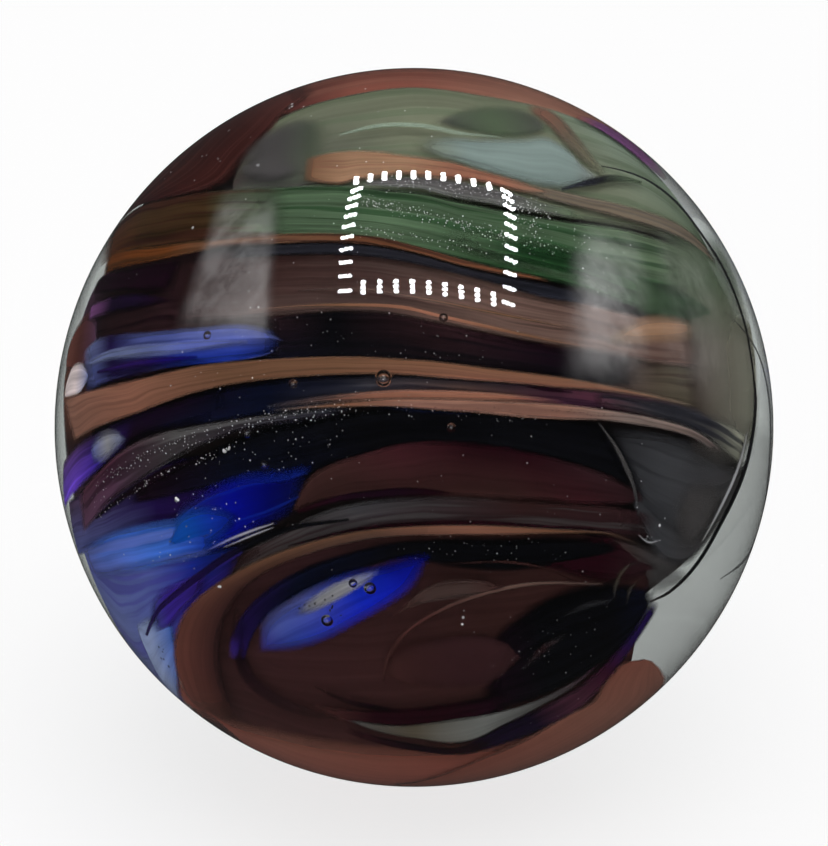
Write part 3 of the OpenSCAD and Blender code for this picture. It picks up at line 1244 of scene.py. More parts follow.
@dataclass
class BluePools(Swirl):
    """Blue, violet and purple pools and slivers, and a painted highlight across the pool of the coil."""

    name: str = "blue_pools"
    slot: str = "blue_glass"
    finish: StreakedGlass = StreakedGlass("blue_glass_and_painted_highlight", density=1.8, amount=1.0)
    lane: int = 4
    sheets: tuple[Sheet, ...] = (
        Sheet("upper left", Depth.BAND_TOP,
              ((84, 352), (100, 338), (150, 332), (200, 328), (240, 325), (270, 329), (288, 340)),
              ((88, 394), (110, 384), (130, 379), (160, 371), (200, 366), (240, 362), (270, 356),
               (288, 345)),
              tints("ice indigo periwinkle periwinkle periwinkle black"),
              tints("lavender indigo indigo cobalt cobalt black"),
              soft=0.16, soft_ends=0.7, vein=Hue.LAVENDER, veined=0.6),
        thread("pale streak", Depth.PATCH,
               ((92, 364), (112, 356), (140, 352), (175, 349), (215, 345), (250, 343)), 14.0,
               tints("ice ice lavender periwinkle"), soft=0.13, body=0.8),
        thread("violet streak", Depth.PATCH, ((100, 373), (130, 366), (160, 362), (200, 358)), 9.0,
               tints("indigo indigo ultramarine"), soft=0.07),
        Sheet("plum patch", Depth.BAND_TOP,
              ((98, 282), (104, 276), (130, 270), (160, 264), (184, 261)),
              ((94, 296), (108, 294), (130, 292), (155, 292), (172, 290)),
              tints("plum plum plum"), soft=0.08, soft_ends=0.2),
        Sheet("indigo sliver", Depth.BAND_TOP,
              ((92, 306), (115, 297), (140, 294), (172, 300)),
              ((90, 322), (115, 314), (140, 310), (172, 304)),
              tints("magenta night night plum"), soft=0.1, soft_ends=0.1),
        Sheet("shell patch", Depth.PATCH,
              ((68, 382), (74, 366), (84, 362), (90, 372)), ((66, 398), (74, 397), (82, 393), (90, 380)),
              tints("shell shell ice"), soft=0.12),
        Sheet("white patch", Depth.BAND_TOP,
              ((92, 442), (104, 430), (118, 428), (130, 438)),
              ((95, 464), (105, 463), (118, 452), (130, 441)),
              tints("lavender frost ice"), soft=0.3, soft_ends=0.2, body=0.85),
        Sheet("violet patch", Depth.BAND,
              ((64, 462), (92, 434), (120, 421), (150, 408), (190, 396), (230, 386)),
              ((66, 512), (96, 474), (125, 450), (150, 436), (190, 426), (230, 418)),
              tints("mauve mauve plum night plum navy"),
              tints("lilac lilac violet plum navy navy"),
              soft=0.15, soft_ends=0.3, vein=Hue.NIGHT, veined=0.3),
        Sheet("slate band", Depth.BAND,
              ((190, 396), (230, 387), (260, 382), (300, 377), (350, 375), (400, 375), (450, 378),
               (500, 382), (560, 388), (640, 396), (700, 410)),
              ((190, 428), (230, 422), (260, 418), (300, 414), (350, 408), (400, 403), (450, 402),
               (500, 403), (560, 406), (640, 417), (700, 434)),
              tints("night navy navy slate slate rose rose grey"),
              tints("navy navy grey tan rose rose grey"), soft=0.06, soft_ends=0.7, vein=Hue.NAVY),
        Sheet("great pool", Depth.BAND,
              ((172, 524), (182, 502), (205, 486), (250, 470), (290, 466), (318, 458)),
              ((176, 556), (190, 560), (208, 555), (235, 544), (265, 530), (300, 512)),
              tints("indigo indigo royal ultramarine navy"),
              tints("sky cobalt royal ultramarine navy"),
              soft=0.4, soft_ends=0.4, vein=Hue.COBALT, veined=0.3, streak=0.3),
        Sheet("azure", Depth.BAND_TOP,
              ((170, 534), (180, 514), (200, 504), (222, 504), (242, 512)),
              ((172, 550), (190, 554), (212, 548), (230, 536), (242, 520)),
              tints("azure azure cobalt ultramarine"), soft=0.35, soft_ends=0.2, streak=0.4),
        Sheet("sky", Depth.BAND_TOP,
              ((84, 544), (115, 530), (145, 522), (180, 516), (215, 520)),
              ((98, 580), (130, 576), (160, 570), (190, 562), (215, 554)),
              tints("lavender sky sky sky cobalt"),
              tints("lavender lavender sky cobalt"), soft=0.3, soft_ends=0.3, vein=Hue.LAVENDER),
        Sheet("lower left", Depth.FIELD,
              ((84, 548), (125, 556), (165, 554), (205, 552), (250, 540)),
              ((122, 632), (146, 668), (186, 708), (188, 640), (230, 580)),
              tints("lavender lavender lavender cobalt navy"),
              tints("ice ice lavender violet indigo"),
              soft=0.12, vein=Hue.VIOLET, veined=0.4, streak=0.4),
        Sheet("lower violet", Depth.BAND_LOW,
              ((150, 600), (165, 586), (185, 576), (215, 566)),
              ((156, 640), (172, 632), (184, 614), (210, 588)),
              tints("periwinkle violet violet indigo"), soft=0.35, soft_ends=0.6),
        Sheet("lower ice", Depth.BAND_LOW,
              ((136, 622), (153, 614), (174, 618)), ((158, 668), (182, 704), (184, 660)),
              tints("glacier glacier sky"), soft=0.4, soft_ends=0.35, streak=0.5),
        Sheet("mauve ground", Depth.FIELD,
              ((70, 500), (100, 480), (130, 465), (170, 460), (240, 448)),
              ((80, 556), (112, 546), (145, 534), (180, 526), (240, 512)),
              tints("mauve mauve indigo plum"), tints("lavender periwinkle indigo indigo"),
              soft=0.1, vein=Hue.INDIGO, streak=0.6),
        Sheet("coil pool", Depth.BAND_TOP,
              ((258, 648), (264, 616), (300, 590), (340, 571), (375, 562), (405, 552), (434, 548)),
              ((262, 653), (300, 648), (330, 638), (360, 622), (390, 605), (415, 586), (434, 552)),
              tints("violet lavender lavender cobalt ultramarine ultramarine"),
              tints("indigo cobalt electric electric ultramarine"),
              soft=0.42, soft_ends=0.4, vein=Hue.ULTRAMARINE, veined=0.3, streak=0.25),
        # A painted highlight: a pale streak across the blue pool of the coil
        Sheet("coil ice", Depth.PATCH,
              ((292, 612), (310, 596), (340, 578), (380, 565)),
              ((298, 617), (322, 608), (350, 593), (382, 572)),
              tints("periwinkle frost frost lavender"), soft=0.2, soft_ends=0.4, streak=0.6),
        Sheet("coil violet", Depth.PATCH,
              ((229, 656), (234, 630), (246, 612)), ((239, 658), (245, 636), (250, 615)),
              tints("violet indigo navy"), soft=0.16, soft_ends=0.4, body=0.6),
        Sheet("purple edge", Depth.BAND_TOP,
              ((455, 748), (500, 724), (540, 706), (575, 686), (605, 660), (630, 630), (650, 598)),
              ((455, 756), (500, 744), (540, 728), (580, 706), (612, 672), (643, 630), (660, 602)),
              tints("wine night night rose purple indigo indigo"), soft=0.15, soft_ends=0.3),
        thread("rim violet", Depth.BAND_TOP,
               ((576, 117), (600, 127), (621, 140), (640, 155), (655, 169), (665, 180)), 9.0,
               tints("clay magenta magenta magenta ash"), soft=0.08, streak=0.4),
        back_band("back blue", 544, 632, tints("sky cobalt royal cobalt violet"), Hue.LAVENDER),
    )


@dataclass
class GreyVeils(Swirl):
    """Grey and smoky glass: the haze under the cap, partly a painted reflection, the dotted stripe, the
    crescent, the right side.
    """

    name: str = "grey_veils"
    slot: str = "grey_glass"
    finish: StreakedGlass = StreakedGlass("grey_glass_and_painted_reflection", density=1.6, amount=0.7)
    lane: int = 5
    sheets: tuple[Sheet, ...] = (
        # The haze and the left haze: grey-green glass over the top, partly a painted reflection of the
        # surroundings
        Sheet("haze", Depth.FIELD_LOW,
              ((235, 180), (262, 132), (300, 110), (350, 96), (414, 88), (480, 96), (545, 108),
               (605, 132), (655, 175)),
              ((235, 196), (300, 194), (400, 198), (470, 206), (540, 218), (600, 226), (650, 236),
               (690, 252), (716, 272)),
              tints("maroon haze haze haze haze pale_sage pale_sage"),
              tints("grey grey haze haze haze sage"),
              soft=0.2, vein=Hue.SAGE, veined=0.5, streak=0.6),
        Sheet("left haze", Depth.FIELD,
              ((240, 152), (270, 130), (300, 118), (334, 122)),
              ((232, 194), (268, 192), (300, 190), (334, 186)),
              tints("grey grey sage"), soft=0.7, soft_ends=0.9, body=0.7, streak=0.6),
        Sheet("slate lens", Depth.BAND,
              ((236, 172), (255, 162), (280, 160), (304, 168)),
              ((236, 174), (255, 182), (280, 184), (304, 172)),
              tints("grey"), soft=0.3, soft_ends=0.4, body=0.8, streak=0.5),
        Sheet("dark ellipse", Depth.FIELD,
              ((430, 124), (460, 111), (490, 106), (520, 110), (548, 126)),
              ((430, 126), (465, 136), (500, 143), (530, 141), (548, 132)),
              tints("grey sage grey"), soft=0.42, soft_ends=0.5, body=0.75, streak=0.6),
        Sheet("blue lens", Depth.BAND_LOW,
              ((405, 142), (450, 137), (480, 139), (520, 139), (545, 137), (565, 148), (580, 164),
               (606, 182)),
              ((420, 158), (470, 171), (500, 181), (530, 189), (560, 193), (585, 190), (606, 184)),
              tints("haze mist mist mist ash"), soft=0.48, soft_ends=0.6, streak=0.5),
        thread("teal smear", Depth.BAND, ((560, 192), (590, 184), (612, 180), (640, 184)), 9.0,
               tints("slate teal sage"), soft=0.1, body=0.85),
        thread("white arc", Depth.THREAD, ((340, 138), (380, 128), (420, 128), (460, 136), (500, 140)),
               5.0, tints("pale_sage"), soft=0.06, body=0.5),
        Sheet("right rim", Depth.BAND_LOW,
              ((646, 236), (664, 286), (676, 332), (682, 380), (684, 430), (678, 474)),
              ((712, 228), (742, 290), (755, 345), (760, 390), (758, 430), (746, 474)),
              tints("sage sage brown brown smoke"),
              tints("sage sage lichen lichen grey"),
              soft=0.8, soft_ends=0.9, body=0.66, streak=0.15),
        Sheet("right sage", Depth.BAND_LOW,
              ((630, 290), (660, 284), (690, 290), (724, 312)),
              ((630, 316), (660, 322), (690, 328), (730, 332)),
              tints("green forest green"), soft=0.3, soft_ends=0.5, body=0.6),
        Sheet("dotted stripe", Depth.BAND_TOP,
              ((80, 494), (100, 470), (120, 452), (140, 440), (160, 432), (200, 424), (240, 418),
               (300, 410), (350, 404)),
              ((84, 536), (100, 516), (120, 497), (140, 483), (160, 470), (180, 458), (200, 448),
               (240, 433), (280, 425), (350, 416)),
              tints("rose rose grey grey slate"), tints("mauve mauve grey slate slate"),
              soft=0.12, soft_ends=0.6, vein=Hue.PLUM, veined=0.6),
        Sheet("crescent", Depth.PATCH,
              ((350, 716), (400, 723), (450, 717), (500, 709), (540, 696), (570, 680), (599, 659)),
              ((350, 719), (380, 730), (420, 737), (452, 741), (475, 737), (500, 724), (540, 704),
               (570, 687), (599, 662)),
              tints("grey khaki ash grey purple"), soft=0.08, soft_ends=0.3),
        Sheet("smoke", Depth.FIELD,
              ((590, 424), (640, 428), (690, 440), (720, 458), (748, 455)),
              ((630, 505), (650, 550), (665, 566), (690, 562), (740, 482)),
              tints("black smoke smoke grey"), tints("smoke smoke grey grey"),
              soft=0.3, soft_ends=0.4, vein=Hue.BLACK, veined=0.3, streak=0.5),
        Sheet("smoke light", Depth.BAND_LOW,
              ((668, 500), (690, 480), (712, 478), (726, 490)),
              ((670, 545), (688, 552), (700, 540), (718, 505)),
              tints("grey grey grey"), soft=0.6, soft_ends=0.6, body=0.75, streak=0.4),
        Sheet("slate lines", Depth.BAND_TOP,
              ((590, 391), (640, 397), (690, 408), (746, 436)),
              ((590, 406), (640, 416), (690, 432), (742, 470)),
              tints("rose grey grey lichen"), soft=0.12, soft_ends=0.4, vein=Hue.SLATE, veined=0.8),
        thread("fold", Depth.THREAD, ((596, 423), (612, 445), (624, 468), (632, 490), (636, 515)), 5.0,
               tints("grey grey smoke"), soft=0.05, body=0.8),
        thread("seam shine", Depth.THREAD, ((745, 432), (738, 462), (722, 500), (700, 540)), 3.0,
               tints("ash frost ash")),
        thread("eye, outer", Depth.BAND_TOP, ((613, 600), (614, 582), (624, 566), (640, 560)), 6.0,
               tints("smoke khaki grey"), soft=0.12, body=0.5),
        thread("eye, inner", Depth.BAND_TOP, ((624, 604), (628, 588), (638, 577)), 5.0,
               tints("grey khaki"), soft=0.1, body=0.45),
        thread("heart mottle, left", Depth.BAND, ((522, 668), (540, 648), (565, 632)), 10.0,
               tints("smoke raisin smoke"), soft=0.2, body=0.4),
        thread("heart mottle, right", Depth.BAND, ((562, 614), (585, 604), (612, 598)), 9.0,
               tints("smoke smoke"), soft=0.2, body=0.4),
        thread("coil end", Depth.BAND_TOP, ((640, 545), (650, 560), (653, 578), (650, 598)), 4.0,
               tints("smoke grey smoke"), soft=0.08, body=0.5),
        Sheet("clear veil", Depth.CORE,
              ((590, 655), (640, 590), (690, 530), (722, 470), (735, 400)),
              ((650, 702), (700, 656), (740, 595), (764, 520), (773, 430)),
              tints("grey"), soft=0.4, soft_ends=0.6, body=0.19, streak=0.1),
        thread("lint, left", Depth.LINT, ((212, 548), (232, 538), (255, 529), (276, 522)), 3.0,
               tints("lavender frost frost")),
        thread("lint, right", Depth.LINT, ((226, 546), (245, 538), (262, 531), (276, 526)), 2.0,
               tints("frost")),
        thread("lint, hook", Depth.LINT, ((636, 534), (646, 541), (658, 539)), 2.0, tints("frost")),
    )


@dataclass(frozen=True)
class Trail:
    """A drift of specks along a line.

    Attributes:
        line: its middle line, in pixels.
        spread: how far the specks stray from it, in pixels.
        count: how many specks it has.
        size: radius of a common speck, in pixels.
        shade: 1 for pale specks, and near 0 for dark ones.
    """

    line: Edge
    spread: float
    count: int
    size: float = 1.0
    shade: float = 1.0


@dataclass
class Specks:
    """Tiny seeds in the glass, painted glints in it, and grains of dust on it.

    Attributes:
        name: name of the piece.
        slot: material slot of the record; not used.
        depth: the layer that they lie in.
        finish: look of a speck.
        trails: where they lie.
        seed: start of the random numbers.
    """

    name: str
    slot: str
    depth: Depth
    finish: SpeckGlass
    trails: tuple[Trail, ...]
    seed: int
    PIXEL = BALL_R / PHOTO_RADIUS
    FLATNESS = 0.8
    DEPTHS = (0, 0.02)
    SIZES = (0.4, 1.15)
    STRETCHES = (0.7, 1.2)
    LIGHTS = (0.2, 0.9)
    LIGHT_POWER = 1.3
    BLUER = 1.02

    def build(self) -> bpy.types.Object:
        """Models one speck, and strews copies of it along the trails."""
        deselect_all()
        bpy.ops.mesh.primitive_ico_sphere_add(subdivisions=1, radius=self.PIXEL * MM)
        first = bpy.context.object
        bpy.ops.object.mode_set(mode="EDIT")
        bpy.ops.mesh.select_all(action="SELECT")
        bpy.ops.transform.resize(value=(1.0, 1.0, self.FLATNESS))
        bpy.ops.object.mode_set(mode="OBJECT")
        chance = random.Random(self.seed)
        specks = [self._copy(first, trail, chance) for trail in self.trails for _ in range(trail.count)]
        bpy.data.objects.remove(first)
        piece = join_all(specks, self.name)
        bpy.ops.object.transform_apply(location=True, rotation=True, scale=True)
        bpy.ops.object.shade_smooth()
        return piece

    def _copy(self, first: bpy.types.Object, trail: Trail, chance: random.Random) -> bpy.types.Object:
        """Sets one copy somewhere on a trail.

        Args:
            first: the speck to copy.
            trail: the trail.
            chance: source of random numbers.

        Returns:
            The copy, with a tint of its own.
        """
        step = chance.random() * (len(trail.line) - 1)
        start, end = trail.line[int(step)], trail.line[min(int(step) + 1, len(trail.line) - 1)]
        share = step - int(step)
        x = start[0] + (end[0] - start[0]) * share + chance.gauss(0, trail.spread / 2)
        y = start[1] + (end[1] - start[1]) * share + chance.gauss(0, trail.spread / 2)
        speck = first.copy()
        speck.data = first.data.copy()
        bpy.context.scene.collection.objects.link(speck)
        speck.location = under_glass((x, y), self.depth.value + chance.uniform(*self.DEPTHS)) * MM
        speck.rotation_euler = Euler([chance.uniform(0, math.pi) for _ in range(3)])
        size = trail.size * chance.uniform(*self.SIZES)
        speck.scale = [size * chance.uniform(*self.STRETCHES) for _ in range(3)]
        light = trail.shade * chance.uniform(*self.LIGHTS) ** self.LIGHT_POWER
        tint = np.tile((light, light, light * self.BLUER, 1.0), (len(speck.data.vertices), 1))
        layer = speck.data.color_attributes.new("tint", "FLOAT_COLOR", "POINT")
        layer.data.foreach_set("color", tint.ravel())
        return speck

    def dress(self, piece: bpy.types.Object) -> None:
        """Gives the specks their finish and their place in the frame."""
        piece.data.materials.clear()
        piece.data.materials.append(self.finish.material())
        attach(piece, BODY)


@dataclass
class SeedsAndGlints(Specks):
    """Seeds drawn out along the bands, and the glitter of the green, whose pale specks are painted
    glints.
    """

    name: str = "seed_specks"
    slot: str = "clear_glass"
    depth: Depth = Depth.SEED
    finish: SpeckGlass = SpeckGlass("seed_and_glint_glass")
    seed: int = 7
    trails: tuple[Trail, ...] = (
        # The first five trails are the glitter of the green: pale specks that paint the glints of its
        # flecks
        Trail(((385, 186), (440, 188), (480, 196), (515, 205), (545, 216)), 7, 210, 0.75),
        Trail(((362, 202), (385, 208), (410, 214), (440, 222), (470, 229), (505, 240)), 7, 230, 0.75),
        Trail(((358, 232), (385, 237), (420, 241), (450, 247), (485, 254)), 5, 80, 0.7),
        Trail(((525, 208), (533, 228), (540, 250)), 16, 110, 0.75),
        Trail(((565, 232), (590, 250), (615, 268)), 22, 40, 0.7),
        Trail(((90, 506), (115, 476), (140, 459), (170, 446), (200, 437), (240, 426), (290, 415),
               (330, 409), (420, 408)),
              8, 260, 0.7),
        Trail(((100, 516), (130, 495), (150, 482), (180, 466), (220, 455)), 3, 60, 0.8),
        Trail(((215, 455), (250, 447), (300, 442), (350, 438)), 26, 50, 0.65),
        Trail(((435, 413), (500, 418), (550, 421)), 8, 24, 0.5),
        Trail(((395, 550), (440, 544), (480, 542), (520, 545), (570, 552)), 14, 40, 0.5),
        Trail(((500, 662), (530, 650), (545, 655), (565, 636), (590, 610)), 30, 34, 0.55),
        Trail(((270, 320), (350, 338), (400, 330), (440, 345)), 26, 18, 0.5),
        Trail(((335, 352), (400, 356), (450, 358), (520, 363)), 5, 14, 0.6),
        Trail(((150, 300), (300, 350), (450, 470), (560, 560), (600, 640)), 170, 100, 0.6),
        Trail(((150, 560), (190, 540), (230, 520)), 40, 40, 0.9),
        Trail(((300, 604), (319, 601), (332, 593), (336, 601), (330, 610), (358, 618)), 4, 12, 1.5, 0.04),
        Trail(((330, 411), (450, 410), (540, 411), (615, 415)), 3, 70, 0.6, 0.05),
        Trail(((158, 640), (165, 655), (172, 670)), 6, 7, 1.5, 0.04),
    )


@dataclass
class SurfaceDust(Specks):
    """Grains of dust on the surface."""

    name: str = "surface_dust"
    slot: str = "clear_glass"
    depth: Depth = Depth.LINT
    finish: SpeckGlass = SpeckGlass("dust")
    seed: int = 11
    trails: tuple[Trail, ...] = (
        Trail(((260, 168), (260, 168)), 1, 3, 2.2),
        Trail(((164, 178), (205, 157)), 3, 4, 1.7),
        Trail(((220, 165), (230, 130)), 4, 4, 1.5),
        Trail(((275, 112), (300, 107)), 3, 4, 1.5),
        Trail(((195, 229), (196, 230)), 1, 2, 1.7),
        Trail(((222, 584), (223, 585)), 1, 3, 2.4),
        Trail(((179, 498), (180, 499)), 2, 4, 2.6),
        Trail(((228, 450), (232, 452)), 3, 5, 2.2),
        Trail(((470, 577), (456, 640)), 2, 3, 2.2),
        Trail(((674, 505), (640, 540)), 2, 4, 2.0),
        Trail(((200, 150), (420, 100), (300, 300), (200, 420), (260, 560)), 90, 60, 0.9),
    )


@dataclass(frozen=True)
class LampRow:
    """A row of small lamps, by where their mirror images show on the ball.

    Attributes:
        line: start, middle and end of the row, in pixels.
        count: how many lamps it has; each shows as three dots in a line.
        size: width and height of a dot, in pixels.
        pitch: pixels between the dots of a lamp.
        lean: degrees by which the dots of the first and the last lamp rise to the right.
    """

    line: tuple[Point, Point, Point]
    count: int
    size: tuple[float, float]
    pitch: float
    lean: tuple[float, float]

    def places(self) -> list[Point]:
        """Gives the middle of each dot."""
        start, middle, end = (np.array(point) for point in self.line)
        bow = 2 * middle - (start + end) / 2
        dots = []
        for number in range(self.count):
            share = number / (self.count - 1)
            spot = start * (1 - share) ** 2 + bow * 2 * share * (1 - share) + end * share**2
            lean = math.radians(self.lean[0] + (self.lean[1] - self.lean[0]) * share)
            for step in (-self.pitch, 0.0, self.pitch):
                dots.append((float(spot[0]) + step * math.cos(lean),
                             float(spot[1]) - step * math.sin(lean)))
        return dots


@dataclass(frozen=True)
class Softbox:
    """A soft panel of light, by where its mirror image shows on the ball.

    Attributes:
        name: name of the panel.
        corners: upper left, upper right, lower right and lower left corner, in pixels.
        radiance: how bright it is.
        feather: share of the width and of the height over which it fades out.
    """

    name: str
    corners: tuple[Point, Point, Point, Point]
    radiance: float
    feather: tuple[float, float] = (0.2, 0.2)


@dataclass(frozen=True)
class SoftLamp:
    """A soft lamp that lights the ball, and that its polish does not mirror.

    Attributes:
        name: name of the lamp.
        place: where it hangs, in metres; it faces the middle of the ball.
        size: its width, in metres.
        energy: its power, in watts.
    """

    name: str
    place: tuple[float, float, float]
    size: float
    energy: float

    def build(self) -> None:
        """Hangs the lamp."""
        deselect_all()
        bpy.ops.object.light_add(type="AREA", location=self.place)
        lamp = bpy.context.object
        lamp.name = self.name
        lamp.data.size = self.size
        lamp.data.energy = self.energy
        lamp.rotation_euler = (-lamp.location).to_track_quat("-Z", "Y").to_euler()
        lamp.visible_glossy = False


@dataclass
class Studio:
    """Floor, lights, world and camera.

    Attributes:
        camera_reach: distance of the camera from the middle of the ball, in metres.
        sensor: width of the camera's sensor, in millimetres.
        floor_size: width of the floor, in metres.
        floor_white: share of plain white in the floor where the camera sees it, also through glass.
        daylight: strength of the world as a light.
        mirror_light: strength of the world in the polish.
        lamp_reach: distance of the small lamps from the ball, in metres.
        lamp_radiance: how bright the small lamps are.
        box_reach: distance of the first soft panel from the ball, in metres.
        box_step: how much farther each of the others hangs, in shares of that distance.
        lamps: the soft lamps, one over the ball and a weak one low in front, for its underside.
        rows: the square of small lamps.
        boxes: the soft panels.
    """

    camera_reach: float = 0.4
    sensor: float = 36.0
    floor_size: float = 4.0
    floor_white: float = 0.75
    daylight: float = 0.55
    mirror_light: float = 0.03
    lamp_reach: float = 0.2
    lamp_radiance: float = 40.0
    box_reach: float = 0.6
    box_step: float = 0.06
    lamps: tuple[SoftLamp, ...] = (
        SoftLamp("soft_key", (0.02, -0.03, 0.3), 0.25, 0.62),
        SoftLamp("soft_fill", (-0.05, -0.25, 0.02), 0.2, 0.22),
    )
    rows: tuple[LampRow, ...] = (
        LampRow(((356.7, 182.2), (420.9, 176.6), (488.6, 187.8)), 10, (6.0, 3.6), 2.7, (80, 100)),
        LampRow(((505.6, 193.3), (510.3, 237.8), (507.4, 304.4)), 11, (5.0, 4.4), 4.6, (-32, -20)),
        LampRow(((363.6, 288.6), (428.6, 288.6), (492.8, 299.9)), 9, (6.0, 4.8), 4.9, (90, 94)),
        LampRow(((357.0, 191.4), (348.5, 232.8), (345.6, 292)), 10, (5.0, 4.4), 4.5, (22, 4)),
    )
    boxes: tuple[Softbox, ...] = (
        Softbox("left panel", ((222, 184), (284, 186), (276, 356), (166, 348)), 2.4, (0.22, 0.3)),
        Softbox("left strip", ((247, 240), (275, 242), (270, 345), (238, 340)), 6.0, (0.35, 0.3)),
        Softbox("left glow", ((212, 276), (280, 278), (274, 342), (200, 338)), 4.0, (0.45, 0.5)),
        Softbox("right panel", ((566, 205), (652, 222), (658, 402), (552, 396)), 3.6, (0.4, 0.35)),
        Softbox("right strip", ((572, 220), (622, 230), (630, 390), (566, 384)), 9.0, (0.5, 0.45)),
        Softbox("far right panel", ((640, 200), (716, 250), (738, 420), (652, 400)), 0.7, (0.35, 0.3)),
    )

    LAMP_SIDES = 12
    BOX_GRID = 24
    NEAREST_SEEN = 0.01

    def build(self) -> None:
        """Builds the whole studio."""
        self._floor()
        self._world()
        for lamp in self.lamps:
            lamp.build()
        self._lamp_rows()
        for number, box in enumerate(self.boxes):
            self._softbox(box, self.box_reach * (1 + self.box_step * number))
        self._camera()

    def _floor(self) -> None:
        """Lays a plain pale floor under the ball, near white where the camera or the glass sees it."""
        deselect_all()
        bpy.ops.mesh.primitive_plane_add(size=self.floor_size, location=(0, 0, -BALL_R * MM))
        floor = bpy.context.object
        floor.name = "floor"
        material, bench = new_material("pale_floor")
        out = bench.add("ShaderNodeOutputMaterial")
        shader = bench.add("ShaderNodeBsdfPrincipled", Roughness=0.9, Specular_IOR_Level=0.0)
        shader.inputs["Base Color"].default_value = (0.86, 0.86, 0.86, 1)
        white = bench.add("ShaderNodeEmission", Strength=1.0)
        mix = bench.mix(bench.math("MULTIPLY", self._seen(bench), self.floor_white), shader, white)
        bench.link(mix.outputs[0], out.inputs["Surface"])
        floor.data.materials.append(material)
        floor.visible_glossy = False

    @staticmethod
    def _seen(bench: NodeBench) -> bpy.types.NodeSocket:
        """Gives 1 for what the camera sees, straight or through glass."""
        rays = bench.add("ShaderNodeLightPath")
        return bench.math("MAXIMUM", rays.outputs["Is Camera Ray"], rays.outputs["Is Transmission Ray"])

    def _world(self) -> None:
        """Sets an even pale world, white behind the ball and dark where the ball mirrors it."""
        world = bpy.data.worlds.new("studio")
        bpy.context.scene.world = world
        world.use_nodes = True
        bench = NodeBench(world.node_tree)
        out = bench.add("ShaderNodeOutputWorld")
        light = bench.add("ShaderNodeBackground", Strength=self.daylight)
        white = bench.add("ShaderNodeBackground", Strength=1.0)
        mirror = bench.add("ShaderNodeBackground", Strength=self.mirror_light)
        for node in (light, white, mirror):
            node.inputs["Color"].default_value = (1, 1, 1, 1)
        rays = bench.add("ShaderNodeLightPath")
        unseen = bench.mix(rays.outputs["Is Glossy Ray"], light, mirror)
        surface = bench.mix(self._seen(bench), unseen, white)
        bench.link(surface.outputs[0], out.inputs["Surface"])

    def _lamp_rows(self) -> None:
        """Hangs a square of small lamps over the ball, which shows only in its polish."""
        lamps = []
        for row in self.rows:
            for x, y in row.places():
                deselect_all()
                bpy.ops.mesh.primitive_circle_add(vertices=self.LAMP_SIDES, radius=0.5, fill_type="NGON")
                lamp = bpy.context.object
                flat = vertex_places(lamp.data)
                xs = x + flat[:, 0] * row.size[0]
                ys = y - flat[:, 1] * row.size[1]
                spots = np.array([mirrored((px, py), self.lamp_reach) for px, py in zip(xs, ys)])
                lamp.data.vertices.foreach_set("co", spots.ravel())
                lamps.append(lamp)
        self._show_in_polish(join_all(lamps, "lamp_square"), self.lamp_radiance)

    def _softbox(self, box: Softbox, reach: float) -> None:
        """Hangs one soft panel, which shows only in the polish of the ball.

        Args:
            box: the panel.
            reach: its distance from the ball, in metres.
        """
        deselect_all()
        bpy.ops.mesh.primitive_grid_add(x_subdivisions=self.BOX_GRID, y_subdivisions=self.BOX_GRID,
                                        size=1.0)
        panel = bpy.context.object
        panel.name = box.name.replace(" ", "_")
        flat = vertex_places(panel.data)
        across, down = flat[:, 0] + 0.5, 0.5 - flat[:, 1]
        upper_left, upper_right, lower_right, lower_left = (np.array(corner) for corner in box.corners)
        top = upper_left * (1 - across)[:, None] + upper_right * across[:, None]
        bottom = lower_left * (1 - across)[:, None] + lower_right * across[:, None]
        pixels = top * (1 - down)[:, None] + bottom * down[:, None]
        spots = np.array([mirrored(tuple(pixel), reach) for pixel in pixels])
        panel.data.vertices.foreach_set("co", spots.ravel())
        glow = ease(np.minimum(across, 1 - across) / box.feather[0])
        glow *= ease(np.minimum(down, 1 - down) / box.feather[1])
        panel.data.attributes.new("glow", "FLOAT", "POINT").data.foreach_set("value", glow)
        self._show_in_polish(panel, box.radiance)

    @staticmethod
    def _show_in_polish(panel: bpy.types.Object, radiance: float) -> None:
        """Makes an object shine, and only where something mirrors it.

        Args:
            panel: the object; an attribute named glow, where it has one, sets how bright each spot is.
            radiance: how bright it is.
        """
        material, bench = new_material(panel.name + "_glow")
        out = bench.add("ShaderNodeOutputMaterial")
        surface = bench.add("ShaderNodeEmission", Strength=radiance)
        if "glow" in panel.data.attributes:
            glow = bench.add("ShaderNodeAttribute", attribute_name="glow")
            place = bench.add("ShaderNodeTexCoord")
            clouds = bench.add("ShaderNodeTexNoise", Scale=12.0, Detail=4.0, Roughness=0.65)
            bench.link(place.outputs["Object"], clouds.inputs["Vector"])
            haze = bench.remap(clouds.outputs[0], 0.3, 0.7, 0.35, 1.1)
            passing = bench.add("ShaderNodeBsdfTransparent")
            surface = bench.mix(bench.math("MULTIPLY", glow.outputs["Fac"], haze), passing, surface)
        bench.link(surface.outputs[0], out.inputs["Surface"])
        material.cycles.emission_sampling = "NONE"
        panel.data.materials.append(material)
        panel.visible_camera = False
        panel.visible_diffuse = False
        panel.visible_transmission = False
        panel.visible_shadow = False

    def _camera(self) -> None:
        """Sets the camera so that the ball stands in the frame as in the photograph."""
        data = bpy.data.cameras.new("camera")
        camera = bpy.data.objects.new("camera", data)
        bpy.context.scene.collection.objects.link(camera)
        camera.location = FACE_OUT * self.camera_reach
        camera.rotation_euler = (math.pi / 2 - FACE_RISE, 0, 0)
        spread = math.tan(math.asin(BALL_R * MM / self.camera_reach))
        data.sensor_width = self.sensor
        data.lens = PHOTO_RADIUS * self.sensor / (max(PHOTO_SIZE) * spread)
        data.shift_y = (PHOTO_MIDDLE[1] - PHOTO_SIZE[1] / 2) / max(PHOTO_SIZE)
        data.clip_start = self.NEAREST_SEEN
        bpy.context.scene.camera = camera


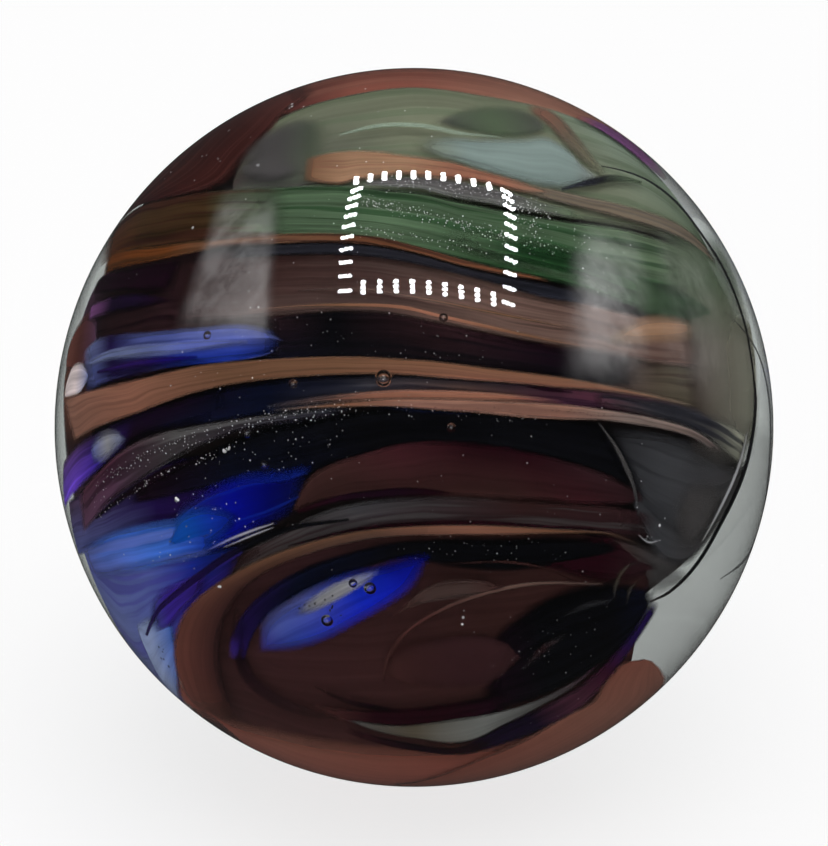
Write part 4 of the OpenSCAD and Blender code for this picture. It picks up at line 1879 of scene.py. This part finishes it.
def main() -> None:
    """Builds the marble and its studio."""
    logging.basicConfig(level=logging.INFO)
    scene = bpy.context.scene
    scene.view_settings.view_transform = "Standard"
    scene.cycles.transparent_max_bounces = 32
    scene.cycles.denoising_input_passes = "RGB_ALBEDO"
    parts = (GlassBall(), BrownBands(), TanThreads(), GreenBand(), BlackBands(), BluePools(), GreyVeils(),
             SeedsAndGlints(), SurfaceDust())
    for part in parts:
        piece = part.build()
        part.dress(piece)
        LOG.info("%s: %d faces", piece.name, len(piece.data.polygons))
    Studio().build()


if __name__ == "__main__":
    main()
